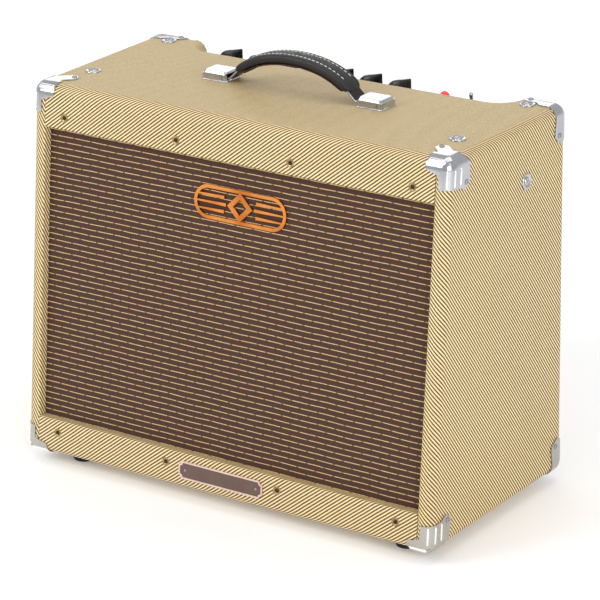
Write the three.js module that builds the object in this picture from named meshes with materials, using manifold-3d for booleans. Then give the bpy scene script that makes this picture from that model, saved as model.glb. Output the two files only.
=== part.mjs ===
// Combo guitar amplifier: a tweed-covered cabinet with a leaning front, one twelve-inch speaker,
// a valve chassis hung under the top board, and a control panel in a recess behind the top board.
// Millimetres, +Z up, +Y to the back. The origin is on the floor under the middle of the cabinet.

import * as THREE from 'three';
import { mergeVertices } from 'three/addons/utils/BufferGeometryUtils.js';
import Module from 'manifold-3d';

const wasm = await Module();
wasm.setup();

// ---------------------------------------------------------------- driving dimensions

const WIDTH = 560;
const HEIGHT = 440; // cabinet only, without the feet
const DEPTH = 288; // at the base
const LEAN = 44; // how far the front leans back over its height
const BOARD = 18; // board thickness
const CORNER_RADIUS = 14; // cabinet corners seen from the side
const EDGE_RADIUS = 11; // edges round the two sides
const GAP = 0.3; // clearance between pieces that touch

const FOOT = { height: 14, topRadius: 15, baseRadius: 13, x: 226, y: 103 };
const OPENING = { bottom: 45.3, top: 392, recess: 11 }; // speaker opening, up the leaning front
const RECESS = { left: -206, right: 222, front: 111, fillet: 24 }; // rear cut in the top board
const BAFFLE = { thickness: 15, bottom: 22, top: 425 };
const SPEAKER = { centre: 222, holeRadius: 140, flangeRadius: 152 };
const CHASSIS = { halfWidth: 258, front: -44, back: 141, floor: 360, rim: 415.7, sheet: 1.6 };
const PANEL = { front: 99, back: 141.5, bottom: 416, top: 418 };
const KNOB = { count: 7, firstX: -172, pitch: 39.3, y: 130, height: 17.4, restAngle: 50, nose: 18 };
const TOGGLE = { x: 166, y: 130, tilt: 12, pivot: 421 };
const BUTTON = { xs: [92, 106], y: 130, radius: 3.4 };
const LAMP = { x: 129, y: 130 };
const INPUT_XS = [192, 211];
const VALVE_Y = 92;
const SPEAKER_JACK = { x: -60, z: 382 };
const INLET = { x: 205, z: 376.5, width: 36, height: 22 };
const HANDLE = { capX: 105, y: 24, capLength: 36, capWidth: 30, capHeight: 10.7, rise: 34 };
const PROTECTOR = { sheet: 1.2, leg: 19, reach: 34, lobe: 47, lobeWidth: 18 };
const CLEAT = { front: 16, frontLow: 60, frontHigh: 340, rearFrom: 108, rearLow: 24, rearHigh: 350 };
const BADGE = { x: 7, z: 342, width: 124, height: 40, front: 8, radius: 19.5 };
const NAME_PLATE = { z: 25.5, width: 116, height: 21, thickness: 1.2, radius: 4 };
const BACK_BOARD = { front: 126, thickness: 12, top: 165 };
const GUARD = { low: 262, high: 357, sheet: 1.6, lip: 10, columns: 12, pitch: 40, rows: [288, 331] };
const VENT = { halfWidth: 14, halfHeight: 12 };
const BOARD_RISE = { low: 394, high: 396, pots: 413.4 }; // circuit board, and the controls under the panel
const CAPACITOR = { xs: [-150, -110, -70], y: 70, radius: 11, top: 411 };
const POWER_VALVES = { xs: [-132, -92, -52, -12], radius: 11, length: 62 };
const SMALL_VALVES = { xs: [38, 78, 118], radius: 10, length: 44 };
const TRANSFORMER_Y = 30;
const REVERB = { halfLength: 213, front: 2, back: 112, height: 34, sheet: 1.6 };

const FRONT = -DEPTH / 2;
const BACK = DEPTH / 2;
const INNER = WIDTH / 2 - BOARD;
const LEAN_ANGLE = Math.atan2(LEAN, HEIGHT);
const UNDER_TOP = HEIGHT - BOARD;

// ---------------------------------------------------------------- materials

function material(color, roughness, metalness = 0) {
  return new THREE.MeshStandardMaterial({ color, roughness, metalness });
}

const tweed = material(0xcdb284, 0.85);
const plywood = material(0xb98f5f, 0.75);
const grilleBrown = material(0x4a2c1e, 0.9);
const chrome = material(0xd9dadb, 0.18, 1);
const steelBlack = material(0x26272a, 0.5, 0.6);
const steelGrey = material(0x8c8f92, 0.4, 0.9);
const rubber = material(0x17171a, 0.9);
const leather = material(0x1f1f21, 0.55);
const copper = material(0xc9803a, 0.3, 0.9);
const knobBlack = material(0x121214, 0.35);
const jewelRed = material(0xe0313f, 0.12);
const glass = material(0xdfe6ea, 0.08);
const paper = material(0x2b2826, 0.9);
const boardGreen = material(0x2f6b46, 0.6);
const plateGrey = material(0x8d7a6c, 0.45, 0.3);

// ---------------------------------------------------------------- solids

function toSolid(geometry) {
  geometry.deleteAttribute('normal');
  geometry.deleteAttribute('uv');
  const merged = mergeVertices(geometry, 1e-4);
  const vertProperties = new Float32Array(merged.attributes.position.array);
  const triVerts = new Uint32Array(merged.index.array);
  return new wasm.Manifold(new wasm.Mesh({ numProp: 3, vertProperties, triVerts }));
}

function toGeometry(solid) {
  const mesh = solid.getMesh();
  const geometry = new THREE.BufferGeometry();
  geometry.setAttribute('position', new THREE.BufferAttribute(mesh.vertProperties, 3));
  geometry.setIndex(new THREE.BufferAttribute(mesh.triVerts, 1));
  geometry.computeVertexNormals();
  return geometry;
}

function box(x0, x1, y0, y1, z0, z1) {
  const geometry = new THREE.BoxGeometry(x1 - x0, y1 - y0, z1 - z0);
  geometry.translate((x0 + x1) / 2, (y0 + y1) / 2, (z0 + z1) / 2);
  return toSolid(geometry);
}

// A box centred on x and y, standing on z0.
function block(x, y, width, depth, z0, z1) {
  return box(x - width / 2, x + width / 2, y - depth / 2, y + depth / 2, z0, z1);
}

function cylinder(x, y, z0, z1, radius, segments = 16, topRadius = radius) {
  const geometry = new THREE.CylinderGeometry(topRadius, radius, z1 - z0, segments);
  geometry.rotateX(Math.PI / 2);
  geometry.translate(x, y, (z0 + z1) / 2);
  return toSolid(geometry);
}

// A cylinder whose axis runs along Y.
function cylinderY(x, z, y0, y1, radius, segments = 16) {
  const geometry = new THREE.CylinderGeometry(radius, radius, y1 - y0, segments);
  geometry.translate(x, (y0 + y1) / 2, z);
  return toSolid(geometry);
}

// Pairs are [radius, height]; the profile is revolved about Z.
function turned(pairs, segments = 20) {
  const profile = pairs.map(([radius, height]) => new THREE.Vector2(radius, height));
  const geometry = new THREE.LatheGeometry(profile, segments);
  geometry.rotateX(Math.PI / 2);
  return toSolid(geometry);
}

// A plan outline in x and y, raised from z0 to z1.
function prism(points, z0, z1) {
  const geometry = new THREE.ExtrudeGeometry(new THREE.Shape(points), {
    depth: z1 - z0,
    bevelEnabled: false,
  });
  geometry.translate(0, 0, z0);
  return toSolid(geometry);
}

// Points of a closed polygon whose corners are rounded: radii has one value for each corner.
function roundedOutline(corners, radii, steps) {
  const outline = [];
  corners.forEach((corner, i) => {
    const before = corners[(i + corners.length - 1) % corners.length];
    const after = corners[(i + 1) % corners.length];
    const toBefore = before.clone().sub(corner).normalize();
    const toAfter = after.clone().sub(corner).normalize();
    const half = Math.acos(toBefore.dot(toAfter)) / 2;
    const bisector = toBefore.clone().add(toAfter).normalize();
    const centre = corner.clone().addScaledVector(bisector, radii[i] / Math.sin(half));
    const start = corner.clone().addScaledVector(toBefore, radii[i] / Math.tan(half));
    const end = corner.clone().addScaledVector(toAfter, radii[i] / Math.tan(half));
    const from = start.clone().sub(centre).angle();
    let sweep = end.clone().sub(centre).angle() - from;
    if (sweep > Math.PI) sweep -= 2 * Math.PI;
    if (sweep < -Math.PI) sweep += 2 * Math.PI;
    for (let k = 0; k <= steps; k += 1) {
      const angle = from + (sweep * k) / steps;
      const arm = new THREE.Vector2(Math.cos(angle), Math.sin(angle));
      outline.push(centre.clone().addScaledVector(arm, radii[i]));
    }
  });
  return outline;
}

function roundedRectangle(width, height, radius, steps = 3) {
  const corners = [
    new THREE.Vector2(-width / 2, -height / 2),
    new THREE.Vector2(width / 2, -height / 2),
    new THREE.Vector2(width / 2, height / 2),
    new THREE.Vector2(-width / 2, height / 2),
  ];
  return roundedOutline(corners, corners.map(() => radius), steps);
}

// ---------------------------------------------------------------- scene graph

const amplifier = new THREE.Group();
const cabinet = new THREE.Group();
cabinet.position.z = FOOT.height;
amplifier.add(cabinet);

// The frame of the leaning front: x across, y into the cabinet, z up the slope.
const front = new THREE.Group();
front.position.y = FRONT;
front.rotation.x = -LEAN_ANGLE;
cabinet.add(front);

function piece(name, solid, finish, parent = cabinet) {
  const mesh = new THREE.Mesh(toGeometry(solid), finish);
  mesh.name = name;
  parent.add(mesh);
  return mesh;
}

// A box given in the frame of the leaning front, as a solid in the frame of the cabinet.
function leaningBox(x0, x1, y0, y1, z0, z1) {
  const geometry = new THREE.BoxGeometry(x1 - x0, y1 - y0, z1 - z0);
  geometry.translate((x0 + x1) / 2, (y0 + y1) / 2, (z0 + z1) / 2);
  geometry.rotateX(-LEAN_ANGLE);
  geometry.translate(0, FRONT, 0);
  return toSolid(geometry);
}

// ---------------------------------------------------------------- cabinet

function frontAt(z) {
  return FRONT + (LEAN * z) / HEIGHT;
}

// The whole rounded outside of the cabinet, grown outwards by a distance.
function envelope(grow) {
  const low = -grow;
  const high = HEIGHT + grow;
  const slant = grow / Math.cos(LEAN_ANGLE);
  const corners = [
    new THREE.Vector2(frontAt(low) - slant, low),
    new THREE.Vector2(BACK + grow, low),
    new THREE.Vector2(BACK + grow, high),
    new THREE.Vector2(frontAt(high) - slant, high),
  ];
  const outline = roundedOutline(corners, corners.map(() => CORNER_RADIUS + grow), 4);
  const bevel = EDGE_RADIUS + grow;
  const length = WIDTH + 2 * grow - 2 * bevel;
  const geometry = new THREE.ExtrudeGeometry(new THREE.Shape(outline), {
    depth: length,
    bevelThickness: bevel,
    bevelSize: bevel,
    bevelOffset: -bevel,
    bevelSegments: 3,
  });
  geometry.translate(0, 0, -length / 2);
  const axes = new THREE.Matrix4().makeBasis(
    new THREE.Vector3(0, 1, 0),
    new THREE.Vector3(0, 0, 1),
    new THREE.Vector3(1, 0, 0),
  );
  geometry.applyMatrix4(axes);
  return toSolid(geometry);
}

const outside = envelope(0);
const railZone = leaningBox(-INNER, INNER, -60, BOARD + GAP, -60, HEIGHT + 60);

function sidePanel(side) {
  const x0 = side < 0 ? -WIDTH / 2 - 1 : INNER;
  const x1 = side < 0 ? -INNER : WIDTH / 2 + 1;
  const inside = side * INNER;
  const cleatEdge = side * (INNER - BOARD);
  const low = Math.min(inside, cleatEdge) - (side > 0 ? 0 : 1);
  const high = Math.max(inside, cleatEdge) + (side > 0 ? 1 : 0);
  const baffleBack = BOARD + GAP + BAFFLE.thickness + GAP;
  const cleatBack = baffleBack + CLEAT.front;
  const frontCleat = leaningBox(low, high, baffleBack, cleatBack, CLEAT.frontLow, CLEAT.frontHigh);
  const rearCleat = box(low, high, CLEAT.rearFrom, BACK_BOARD.front - GAP, CLEAT.rearLow, CLEAT.rearHigh);
  return outside.intersect(box(x0, x1, -200, 200, -20, HEIGHT + 20)).add(frontCleat).add(rearCleat);
}

function rail(bottom, top) {
  const half = INNER - GAP;
  return outside.intersect(leaningBox(-half, half, -20, BOARD, bottom, top));
}

function recessCut() {
  const corners = [
    new THREE.Vector2(RECESS.left, RECESS.front),
    new THREE.Vector2(RECESS.right, RECESS.front),
    new THREE.Vector2(RECESS.right, BACK + 60),
    new THREE.Vector2(RECESS.left, BACK + 60),
  ];
  const outline = roundedOutline(corners, [RECESS.fillet, RECESS.fillet, 5, 5], 5);
  return prism(outline, UNDER_TOP - 10, HEIGHT + 10);
}

function topPanel() {
  const half = INNER - GAP;
  const board = outside.intersect(box(-half, half, -200, 200, UNDER_TOP, HEIGHT + 1));
  return board.subtract(railZone).subtract(recessCut());
}

function bottomPanel() {
  const half = INNER - GAP;
  return outside.intersect(box(-half, half, -200, 200, -1, BOARD)).subtract(railZone);
}

piece('side_panel_left', sidePanel(-1), tweed);
piece('side_panel_right', sidePanel(1), tweed);
piece('top_panel', topPanel(), tweed);
piece('bottom_panel', bottomPanel(), tweed);
piece('top_rail', rail(OPENING.top, HEIGHT + 20), tweed);
piece('bottom_rail', rail(-20, OPENING.bottom), tweed);

// ---------------------------------------------------------------- front: baffle, grille, badges

function baffleBoard() {
  const half = INNER - GAP;
  const start = BOARD + GAP;
  const board = box(-half, half, start, start + BAFFLE.thickness, BAFFLE.bottom, BAFFLE.top);
  return board.subtract(cylinderY(0, SPEAKER.centre, 0, 60, SPEAKER.holeRadius, 32));
}

function grilleFrame() {
  const half = INNER - GAP;
  const low = OPENING.bottom + GAP;
  const high = OPENING.top - GAP;
  const y0 = OPENING.recess + 2 + GAP;
  const frame = box(-half, half, y0, BOARD, low, high);
  return frame.subtract(box(-half + 60, half - 60, 0, 40, low + 24, high - 24));
}

// An upright rounded plate in the frame of the leaning front.
function frontPlate(x, z, width, height, y0, y1, radius) {
  const geometry = new THREE.ExtrudeGeometry(new THREE.Shape(roundedRectangle(width, height, radius)), {
    depth: y1 - y0,
    bevelEnabled: false,
  });
  geometry.rotateX(Math.PI / 2);
  geometry.translate(x, y1, z);
  return toSolid(geometry);
}

const clothHalf = INNER - GAP;
const clothLow = OPENING.bottom + GAP;
const clothHigh = OPENING.top - GAP;
const grille = box(-clothHalf, clothHalf, OPENING.recess, OPENING.recess + 2, clothLow, clothHigh);

piece('baffle_board', baffleBoard(), plywood, front);
piece('grille_frame', grilleFrame(), plywood, front);
piece('grille_cloth', grille, grilleBrown, front);
const badge = frontPlate(
  BADGE.x, BADGE.z, BADGE.width, BADGE.height, BADGE.front, OPENING.recess - GAP, BADGE.radius,
);
piece('badge', badge, copper, front);
const namePlate = frontPlate(
  0, NAME_PLATE.z, NAME_PLATE.width, NAME_PLATE.height, -GAP - NAME_PLATE.thickness, -GAP, NAME_PLATE.radius,
);
piece('name_plate', namePlate, plateGrey, front);

// ---------------------------------------------------------------- speaker, in the leaning frame

// Pairs are [radius, depth behind the front]; the profile is revolved about the speaker's axis.
function speakerTurned(pairs, segments) {
  const profile = pairs.map(([radius, depth]) => new THREE.Vector2(radius, depth));
  const geometry = new THREE.LatheGeometry(profile, segments);
  geometry.translate(0, 0, SPEAKER.centre);
  return toSolid(geometry);
}

const speakerSeat = BOARD + GAP + BAFFLE.thickness + GAP;

function speakerBasket() {
  const seat = speakerSeat;
  const shell = speakerTurned(
    [
      [SPEAKER.holeRadius + 1, seat],
      [SPEAKER.flangeRadius, seat],
      [SPEAKER.flangeRadius, seat + 2.4],
      [SPEAKER.holeRadius + 3.4, seat + 2.4],
      [SPEAKER.holeRadius + 0.6, seat + 16],
      [68, seat + 64],
      [34, seat + 64],
      [34, seat + 61.6],
      [66.5, seat + 61.6],
      [SPEAKER.holeRadius - 2, seat + 14.8],
      [SPEAKER.holeRadius + 1, seat],
    ],
    32,
  );
  let basket = shell;
  const windows = 6;
  for (let k = 0; k < windows; k += 1) {
    const angle = (2 * Math.PI * (k + 0.5)) / windows;
    const cut = new THREE.BoxGeometry(54, 36, 60);
    cut.translate(0, seat + 38, 105);
    cut.rotateY(angle);
    cut.translate(0, 0, SPEAKER.centre);
    basket = basket.subtract(toSolid(cut));
  }
  return basket;
}

function speakerMagnet() {
  const start = speakerSeat + 64 + GAP;
  return speakerTurned(
    [
      [0, start],
      [62, start],
      [62, start + 5],
      [76, start + 5],
      [76, start + 25],
      [60, start + 25],
      [58, start + 32],
      [0, start + 32],
    ],
    28,
  );
}

function speakerCone() {
  const seat = speakerSeat;
  return speakerTurned(
    [
      [0, seat + 36],
      [18, seat + 39],
      [30, seat + 46],
      [122, seat + 9],
      [128, seat + 6],
      [134, seat + 8],
      [134, seat + 10],
      [127, seat + 11],
      [26, seat + 52],
      [26, seat + 57],
      [0, seat + 57],
    ],
    32,
  );
}

piece('speaker_basket', speakerBasket(), steelGrey, front);
piece('speaker_magnet', speakerMagnet(), steelBlack, front);
piece('speaker_cone', speakerCone(), paper, front);

// ---------------------------------------------------------------- back boards

function tubeGuard() {
  const half = INNER - GAP;
  const y0 = BACK_BOARD.front;
  const { low, high, sheet, lip, columns, pitch, rows } = GUARD;
  let guard = box(-half, half, y0, y0 + sheet, low, high);
  guard = guard.add(box(-half, half, y0, y0 + lip, high - sheet, high));
  guard = guard.add(box(-half, half, y0, y0 + lip, low, low + sheet));
  for (let column = 0; column < columns; column += 1) {
    const x = (column - (columns - 1) / 2) * pitch;
    for (const z of rows) {
      guard = guard.subtract(block(x, y0, 2 * VENT.halfWidth, 12, z - VENT.halfHeight, z + VENT.halfHeight));
    }
  }
  return guard;
}

const backHalf = INNER - GAP;
const backRear = BACK_BOARD.front + BACK_BOARD.thickness;
const lowerBack = box(-backHalf, backHalf, BACK_BOARD.front, backRear, BOARD + GAP, BACK_BOARD.top);
piece('back_panel_lower', lowerBack, tweed);
piece('tube_guard', tubeGuard(), steelBlack);

// ---------------------------------------------------------------- corner protectors

// The region of space that one corner protector covers; sides are -1 or 1 along x, y and z.
function protectorZone(sx, sy, sz) {
  const edgeX = (sx * WIDTH) / 2;
  const edgeZ = sz > 0 ? HEIGHT : 0;
  const edgeY = sy > 0 ? BACK : frontAt(edgeZ);
  const out = 20;
  const span = (edge, sign, reach) => [
    Math.min(edge + sign * out, edge - sign * reach),
    Math.max(edge + sign * out, edge - sign * reach),
  ];
  const { leg, reach, lobe, lobeWidth } = PROTECTOR;
  let zone = box(...span(edgeX, sx, reach + 3), ...span(edgeY, sy, leg), ...span(edgeZ, sz, leg - 4));
  zone = zone.add(box(...span(edgeX, sx, leg), ...span(edgeY, sy, leg + 2), ...span(edgeZ, sz, reach)));
  const flat = new THREE.BoxGeometry(lobe, lobeWidth, 40);
  flat.translate(-lobe / 2, 0, 0);
  flat.rotateZ(Math.atan2(sy, sx));
  flat.translate(edgeX, edgeY, edgeZ + sz * 14);
  const upright = new THREE.BoxGeometry(40, lobeWidth, lobe);
  upright.translate(0, 0, -lobe / 2);
  upright.rotateX(Math.atan2(-sy, sz));
  upright.translate(edgeX + sx * 14, edgeY, edgeZ);
  return zone.add(toSolid(flat)).add(toSolid(upright));
}

const protectorShell = envelope(GAP + PROTECTOR.sheet).subtract(envelope(GAP));

for (const [heightName, sz] of [['top', 1], ['bottom', -1]]) {
  for (const [depthName, sy] of [['front', -1], ['rear', 1]]) {
    for (const [sideName, sx] of [['left', -1], ['right', 1]]) {
      const name = `corner_${heightName}_${depthName}_${sideName}`;
      piece(name, protectorShell.intersect(protectorZone(sx, sy, sz)), chrome);
    }
  }
}

// ---------------------------------------------------------------- feet

for (const [depthName, sy] of [['front', -1], ['rear', 1]]) {
  for (const [sideName, sx] of [['left', -1], ['right', 1]]) {
    const foot = cylinder(
      sx * FOOT.x, sy * FOOT.y, -FOOT.height, -GAP, FOOT.baseRadius, 20, FOOT.topRadius,
    );
    piece(`foot_${depthName}_${sideName}`, foot, rubber);
  }
}

// ---------------------------------------------------------------- handle

function handleCap(side) {
  const { capX, capLength, capWidth, capHeight, y } = HANDLE;
  const base = HEIGHT + GAP;
  const body = prism(roundedRectangle(capLength, capWidth, 4), base, base + capHeight);
  const inward = -side;
  const slotFrom = Math.min(inward * (capLength / 2 + 5), -inward * (capLength / 2 - 5));
  const slotTo = Math.max(inward * (capLength / 2 + 5), -inward * (capLength / 2 - 5));
  const slot = box(slotFrom, slotTo, -12.5, 12.5, base + 1.7, base + 8.6);
  return body.subtract(slot).translate([side * capX, y, 0]);
}

// Height of the middle of the strap at a distance from its centre: an arch with flat ends.
function archHeight(x) {
  const { capX, capLength, capHeight, rise } = HANDLE;
  const u = Math.min(1, Math.abs(x) / (capX - capLength / 2 - 1));
  return HEIGHT + GAP + capHeight / 2 - 0.3 + rise * (1 - u * u) * (1 + 0.35 * u * u);
}

// A band that follows the strap's arch: its side outline, extruded across with rounded edges.
function archedBand(halfLength, width, thickness, round, steps) {
  const upper = [];
  const lower = [];
  for (let k = 0; k <= steps; k += 1) {
    const x = halfLength * ((2 * k) / steps - 1);
    const slope = (archHeight(x + 0.5) - archHeight(x - 0.5));
    const normal = new THREE.Vector2(-slope, 1).setLength(thickness / 2);
    upper.push(new THREE.Vector2(x, archHeight(x)).add(normal));
    lower.unshift(new THREE.Vector2(x, archHeight(x)).sub(normal));
  }
  const geometry = new THREE.ExtrudeGeometry(new THREE.Shape([...lower, ...upper]), {
    depth: width - 2 * round,
    bevelEnabled: round > 0,
    bevelThickness: round,
    bevelSize: round,
    bevelOffset: -round,
    bevelSegments: 2,
  });
  geometry.rotateX(Math.PI / 2);
  geometry.translate(0, HANDLE.y + width / 2 - round, 0);
  return toSolid(geometry);
}

const strapLeather = archedBand(HANDLE.capX - 27, 29, 10.5, 3, 18);
const strapCore = archedBand(HANDLE.capX + 8, 22, 2.4, 0, 32);
const strap = strapLeather.add(strapCore);
piece('handle_strap', strap, leather);
piece('handle_cap_left', handleCap(-1), chrome);
piece('handle_cap_right', handleCap(1), chrome);

// ---------------------------------------------------------------- chassis and control panel

// The folded steel tray that carries the circuit, with the speaker jack in its rear wall.
function chassisTray() {
  const { halfWidth, front: y0, back: y1, floor, rim, sheet } = CHASSIS;
  const { x, z } = SPEAKER_JACK;
  const hollow = box(-halfWidth + sheet, halfWidth - sheet, y0 + sheet, y1 - sheet, floor + sheet, rim + 5);
  const tray = box(-halfWidth, halfWidth, y0, y1, floor, rim).subtract(hollow);
  const collar = cylinderY(x, z, y1 - sheet - 8, y1 + 3.2, 7, 12);
  const bore = cylinderY(x, z, y1 - 20, y1 + 5, 3.3, 12);
  const halfInlet = INLET.width / 2 + GAP;
  const riseInlet = INLET.height / 2 + GAP;
  const inletHole = box(
    INLET.x - halfInlet, INLET.x + halfInlet, y1 - 5, y1 + 5, INLET.z - riseInlet, INLET.z + riseInlet,
  );
  return tray.add(collar).subtract(bore).subtract(inletHole);
}

const knobXs = Array.from({ length: KNOB.count }, (_, k) => KNOB.firstX + k * KNOB.pitch);

function controlPanel() {
  let plate = box(RECESS.left - 8, RECESS.right + 8, PANEL.front, PANEL.back, PANEL.bottom, PANEL.top);
  const holes = [
    ...knobXs.map((x) => [x, KNOB.y, 3.9]),
    ...BUTTON.xs.map((x) => [x, BUTTON.y, BUTTON.radius + 0.4]),
    ...INPUT_XS.map((x) => [x, KNOB.y, 5]),
  ];
  for (const [x, y, radius] of holes) {
    plate = plate.subtract(cylinder(x, y, PANEL.bottom - 5, PANEL.top + 5, radius, 12));
  }
  return plate;
}

function circuitBoard() {
  const { low, high, pots } = BOARD_RISE;
  let board = box(-196, 180, 40, 138, low, high);
  for (const x of knobXs) {
    board = board.add(cylinder(x, KNOB.y - 2, high - 1, pots, 8.2, 12));
  }
  for (const x of BUTTON.xs) {
    board = board.add(block(x, BUTTON.y, 9, 9, high - 1, 409));
  }
  board = board.add(block(TOGGLE.x, TOGGLE.y, 14, 12, high - 1, pots));
  for (const x of CAPACITOR.xs) {
    board = board.add(cylinder(x, CAPACITOR.y, high - 1, CAPACITOR.top, CAPACITOR.radius, 12));
  }
  return board;
}

piece('chassis_tray', chassisTray(), steelBlack);
piece('control_panel', controlPanel(), chrome);
piece('circuit_board', circuitBoard(), boardGreen);

// ---------------------------------------------------------------- controls

// A pointer knob on its shaft, standing on z = 0, with the nose along +X.
function pointerKnob() {
  const top = KNOB.height;
  const skirt = turned([[0, 0], [9.6, 0], [9.6, 2], [8.6, 4], [7.6, 12.5], [0, 12.5]], 18);
  const outline = [
    new THREE.Vector2(-10.5, -3.2),
    new THREE.Vector2(0, -5.4),
    new THREE.Vector2(KNOB.nose, -1.6),
    new THREE.Vector2(KNOB.nose, 1.6),
    new THREE.Vector2(0, 5.4),
    new THREE.Vector2(-10.5, 3.2),
  ];
  const heelBevel = new THREE.BoxGeometry(30, 30, 12);
  heelBevel.translate(0, 0, 6);
  heelBevel.rotateY(-Math.PI / 4);
  heelBevel.translate(-8.5, 0, top - 4);
  const heelCut = toSolid(heelBevel).intersect(box(-40, -4, -20, 20, 0, 40));
  const bar = prism(outline, 2.4, top).subtract(heelCut);
  return skirt.add(bar).add(cylinder(0, 0, -4.2, 1, 3.1, 12));
}

const knobSolid = pointerKnob();
knobXs.forEach((x, k) => {
  const knob = piece(`knob_${k + 1}`, knobSolid, knobBlack);
  knob.position.set(x, KNOB.y, PANEL.top + 0.8);
  knob.rotation.z = THREE.MathUtils.degToRad(KNOB.restAngle);
});

function toggleLever() {
  return turned([[0, -1.6], [1.7, -1.4], [1.5, 3], [1.7, 8], [2.5, 14], [2.3, 16.4], [0, 17.4]], 12);
}

const lever = piece('toggle_lever', toggleLever(), chrome);
lever.position.set(TOGGLE.x, TOGGLE.y, TOGGLE.pivot);
lever.rotation.x = THREE.MathUtils.degToRad(TOGGLE.tilt);

const bushing = turned(
  [[3.2, 0], [6.8, 0], [6.8, 2.4], [5.2, 2.8], [5.2, 6], [3.9, 6], [3.2, 0]],
  16,
).translate([TOGGLE.x, TOGGLE.y, PANEL.top + GAP]);
piece('toggle_bushing', bushing, chrome);

BUTTON.xs.forEach((x, k) => {
  const cap = cylinder(x, BUTTON.y, 412.4, 424.4, BUTTON.radius, 14);
  const flange = cylinder(x, BUTTON.y, 412.4, PANEL.bottom - GAP, BUTTON.radius + 1, 14);
  piece(`push_button_${k + 1}`, cap.add(flange), knobBlack);
});

const bezel = turned([[6.9, 0], [9.2, 0], [9.2, 6.5], [7.8, 8.6], [6.9, 8.6], [6.9, 0]], 18);
piece('lamp_bezel', bezel.translate([LAMP.x, LAMP.y, PANEL.top + GAP]), chrome);
const jewel = turned([[0, 0], [6.5, 0], [6.5, 9.4], [5.2, 12.4], [2.8, 14.6], [0, 15.4]], 12);
piece('lamp_jewel', jewel.translate([LAMP.x, LAMP.y, PANEL.top + GAP]), jewelRed);

INPUT_XS.forEach((x, k) => {
  const body = block(x, KNOB.y, 14, 17, 397, PANEL.bottom - GAP);
  const thread = cylinder(x, KNOB.y, PANEL.bottom - 1, PANEL.top + 4.4, 4.7, 14);
  const nut = cylinder(x, KNOB.y, PANEL.top + GAP, PANEL.top + 3, 7, 6);
  const bore = cylinder(x, KNOB.y, 400, PANEL.top + 10, 3.3, 14);
  piece(`input_jack_${k + 1}`, body.add(thread).add(nut).subtract(bore), chrome);
});

// ---------------------------------------------------------------- under the chassis

function transformer(x, y, width, depth, drop) {
  const top = CHASSIS.floor - GAP;
  const core = block(x, y, width, depth * 0.5, top - drop, top);
  const bells = block(x, y, width * 0.72, depth, top - drop * 0.86, top - drop * 0.14);
  return core.add(bells);
}

piece('power_transformer', transformer(196, TRANSFORMER_Y, 96, 84, 78), steelBlack);
piece('output_transformer', transformer(-196, TRANSFORMER_Y, 70, 66, 58), steelBlack);

// A valve that hangs from the chassis floor, with its evacuation tip at the bottom.
function valve(x, radius, length) {
  const profile = [
    [0, -length - 5],
    [1.6, -length - 3],
    [radius * 0.6, -length - 1.6],
    [radius, -length * 0.86],
    [radius, -6],
    [radius * 0.9, 0],
    [0, 0],
  ];
  return turned(profile, 16).translate([x, VALVE_Y, CHASSIS.floor - GAP]);
}

POWER_VALVES.xs.forEach((x, k) => {
  piece(`power_tube_${k + 1}`, valve(x, POWER_VALVES.radius, POWER_VALVES.length), glass);
});
SMALL_VALVES.xs.forEach((x, k) => {
  piece(`preamp_tube_${k + 1}`, valve(x, SMALL_VALVES.radius, SMALL_VALVES.length), glass);
});

function reverbTank() {
  const low = BOARD + GAP;
  const { halfLength, front: y0, back: y1, height, sheet } = REVERB;
  const tank = box(-halfLength, halfLength, y0, y1, low, low + height);
  const inside = halfLength - sheet;
  return tank.subtract(box(-inside, inside, y0 + sheet, y1 - sheet, low - 1, low + height - sheet));
}

piece('reverb_tank', reverbTank(), steelBlack);

// The mains socket: a flange on the chassis's rear wall and a body that reaches inside.
function powerInlet() {
  const { x, z, width, height } = INLET;
  const y0 = CHASSIS.back + GAP;
  const flange = box(x - 25, x + 25, y0, y0 + 2, z - 14, z + 14);
  const body = box(x - width / 2, x + width / 2, y0 - 21, y0 + 1, z - height / 2, z + height / 2);
  const socket = box(x - 12.5, x + 12.5, y0 - 18, y0 + 3, z - 8.5, z + 8.5);
  return flange.add(body).subtract(socket);
}

piece('power_inlet', powerInlet(), knobBlack);

export default amplifier;
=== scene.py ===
"""Looks for the tweed combo guitar amplifier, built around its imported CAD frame. Metres, +Z up.

The cabinet boards, metal corners, handle and small hardware are rebuilt here as fine meshes, and
every surface gets a procedural material. The front leans back; +Y points to the open back.
"""

import math

import bmesh
import bpy
from mathutils import Matrix, Vector


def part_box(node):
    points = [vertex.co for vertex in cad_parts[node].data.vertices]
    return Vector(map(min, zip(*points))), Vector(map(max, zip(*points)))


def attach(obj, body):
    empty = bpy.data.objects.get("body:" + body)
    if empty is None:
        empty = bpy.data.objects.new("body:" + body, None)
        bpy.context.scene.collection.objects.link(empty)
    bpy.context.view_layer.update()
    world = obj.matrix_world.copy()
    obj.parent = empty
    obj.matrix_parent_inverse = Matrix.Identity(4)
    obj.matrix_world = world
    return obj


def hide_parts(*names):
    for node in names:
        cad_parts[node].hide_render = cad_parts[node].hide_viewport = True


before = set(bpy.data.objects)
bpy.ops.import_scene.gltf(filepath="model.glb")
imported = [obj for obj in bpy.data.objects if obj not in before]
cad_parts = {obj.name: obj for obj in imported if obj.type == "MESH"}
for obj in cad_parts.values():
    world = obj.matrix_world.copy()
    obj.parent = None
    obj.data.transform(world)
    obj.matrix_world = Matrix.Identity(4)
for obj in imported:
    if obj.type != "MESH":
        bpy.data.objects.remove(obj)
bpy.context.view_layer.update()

MM = 0.001

# ------------------------------------------------------------------ the cabinet, from the frame

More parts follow.
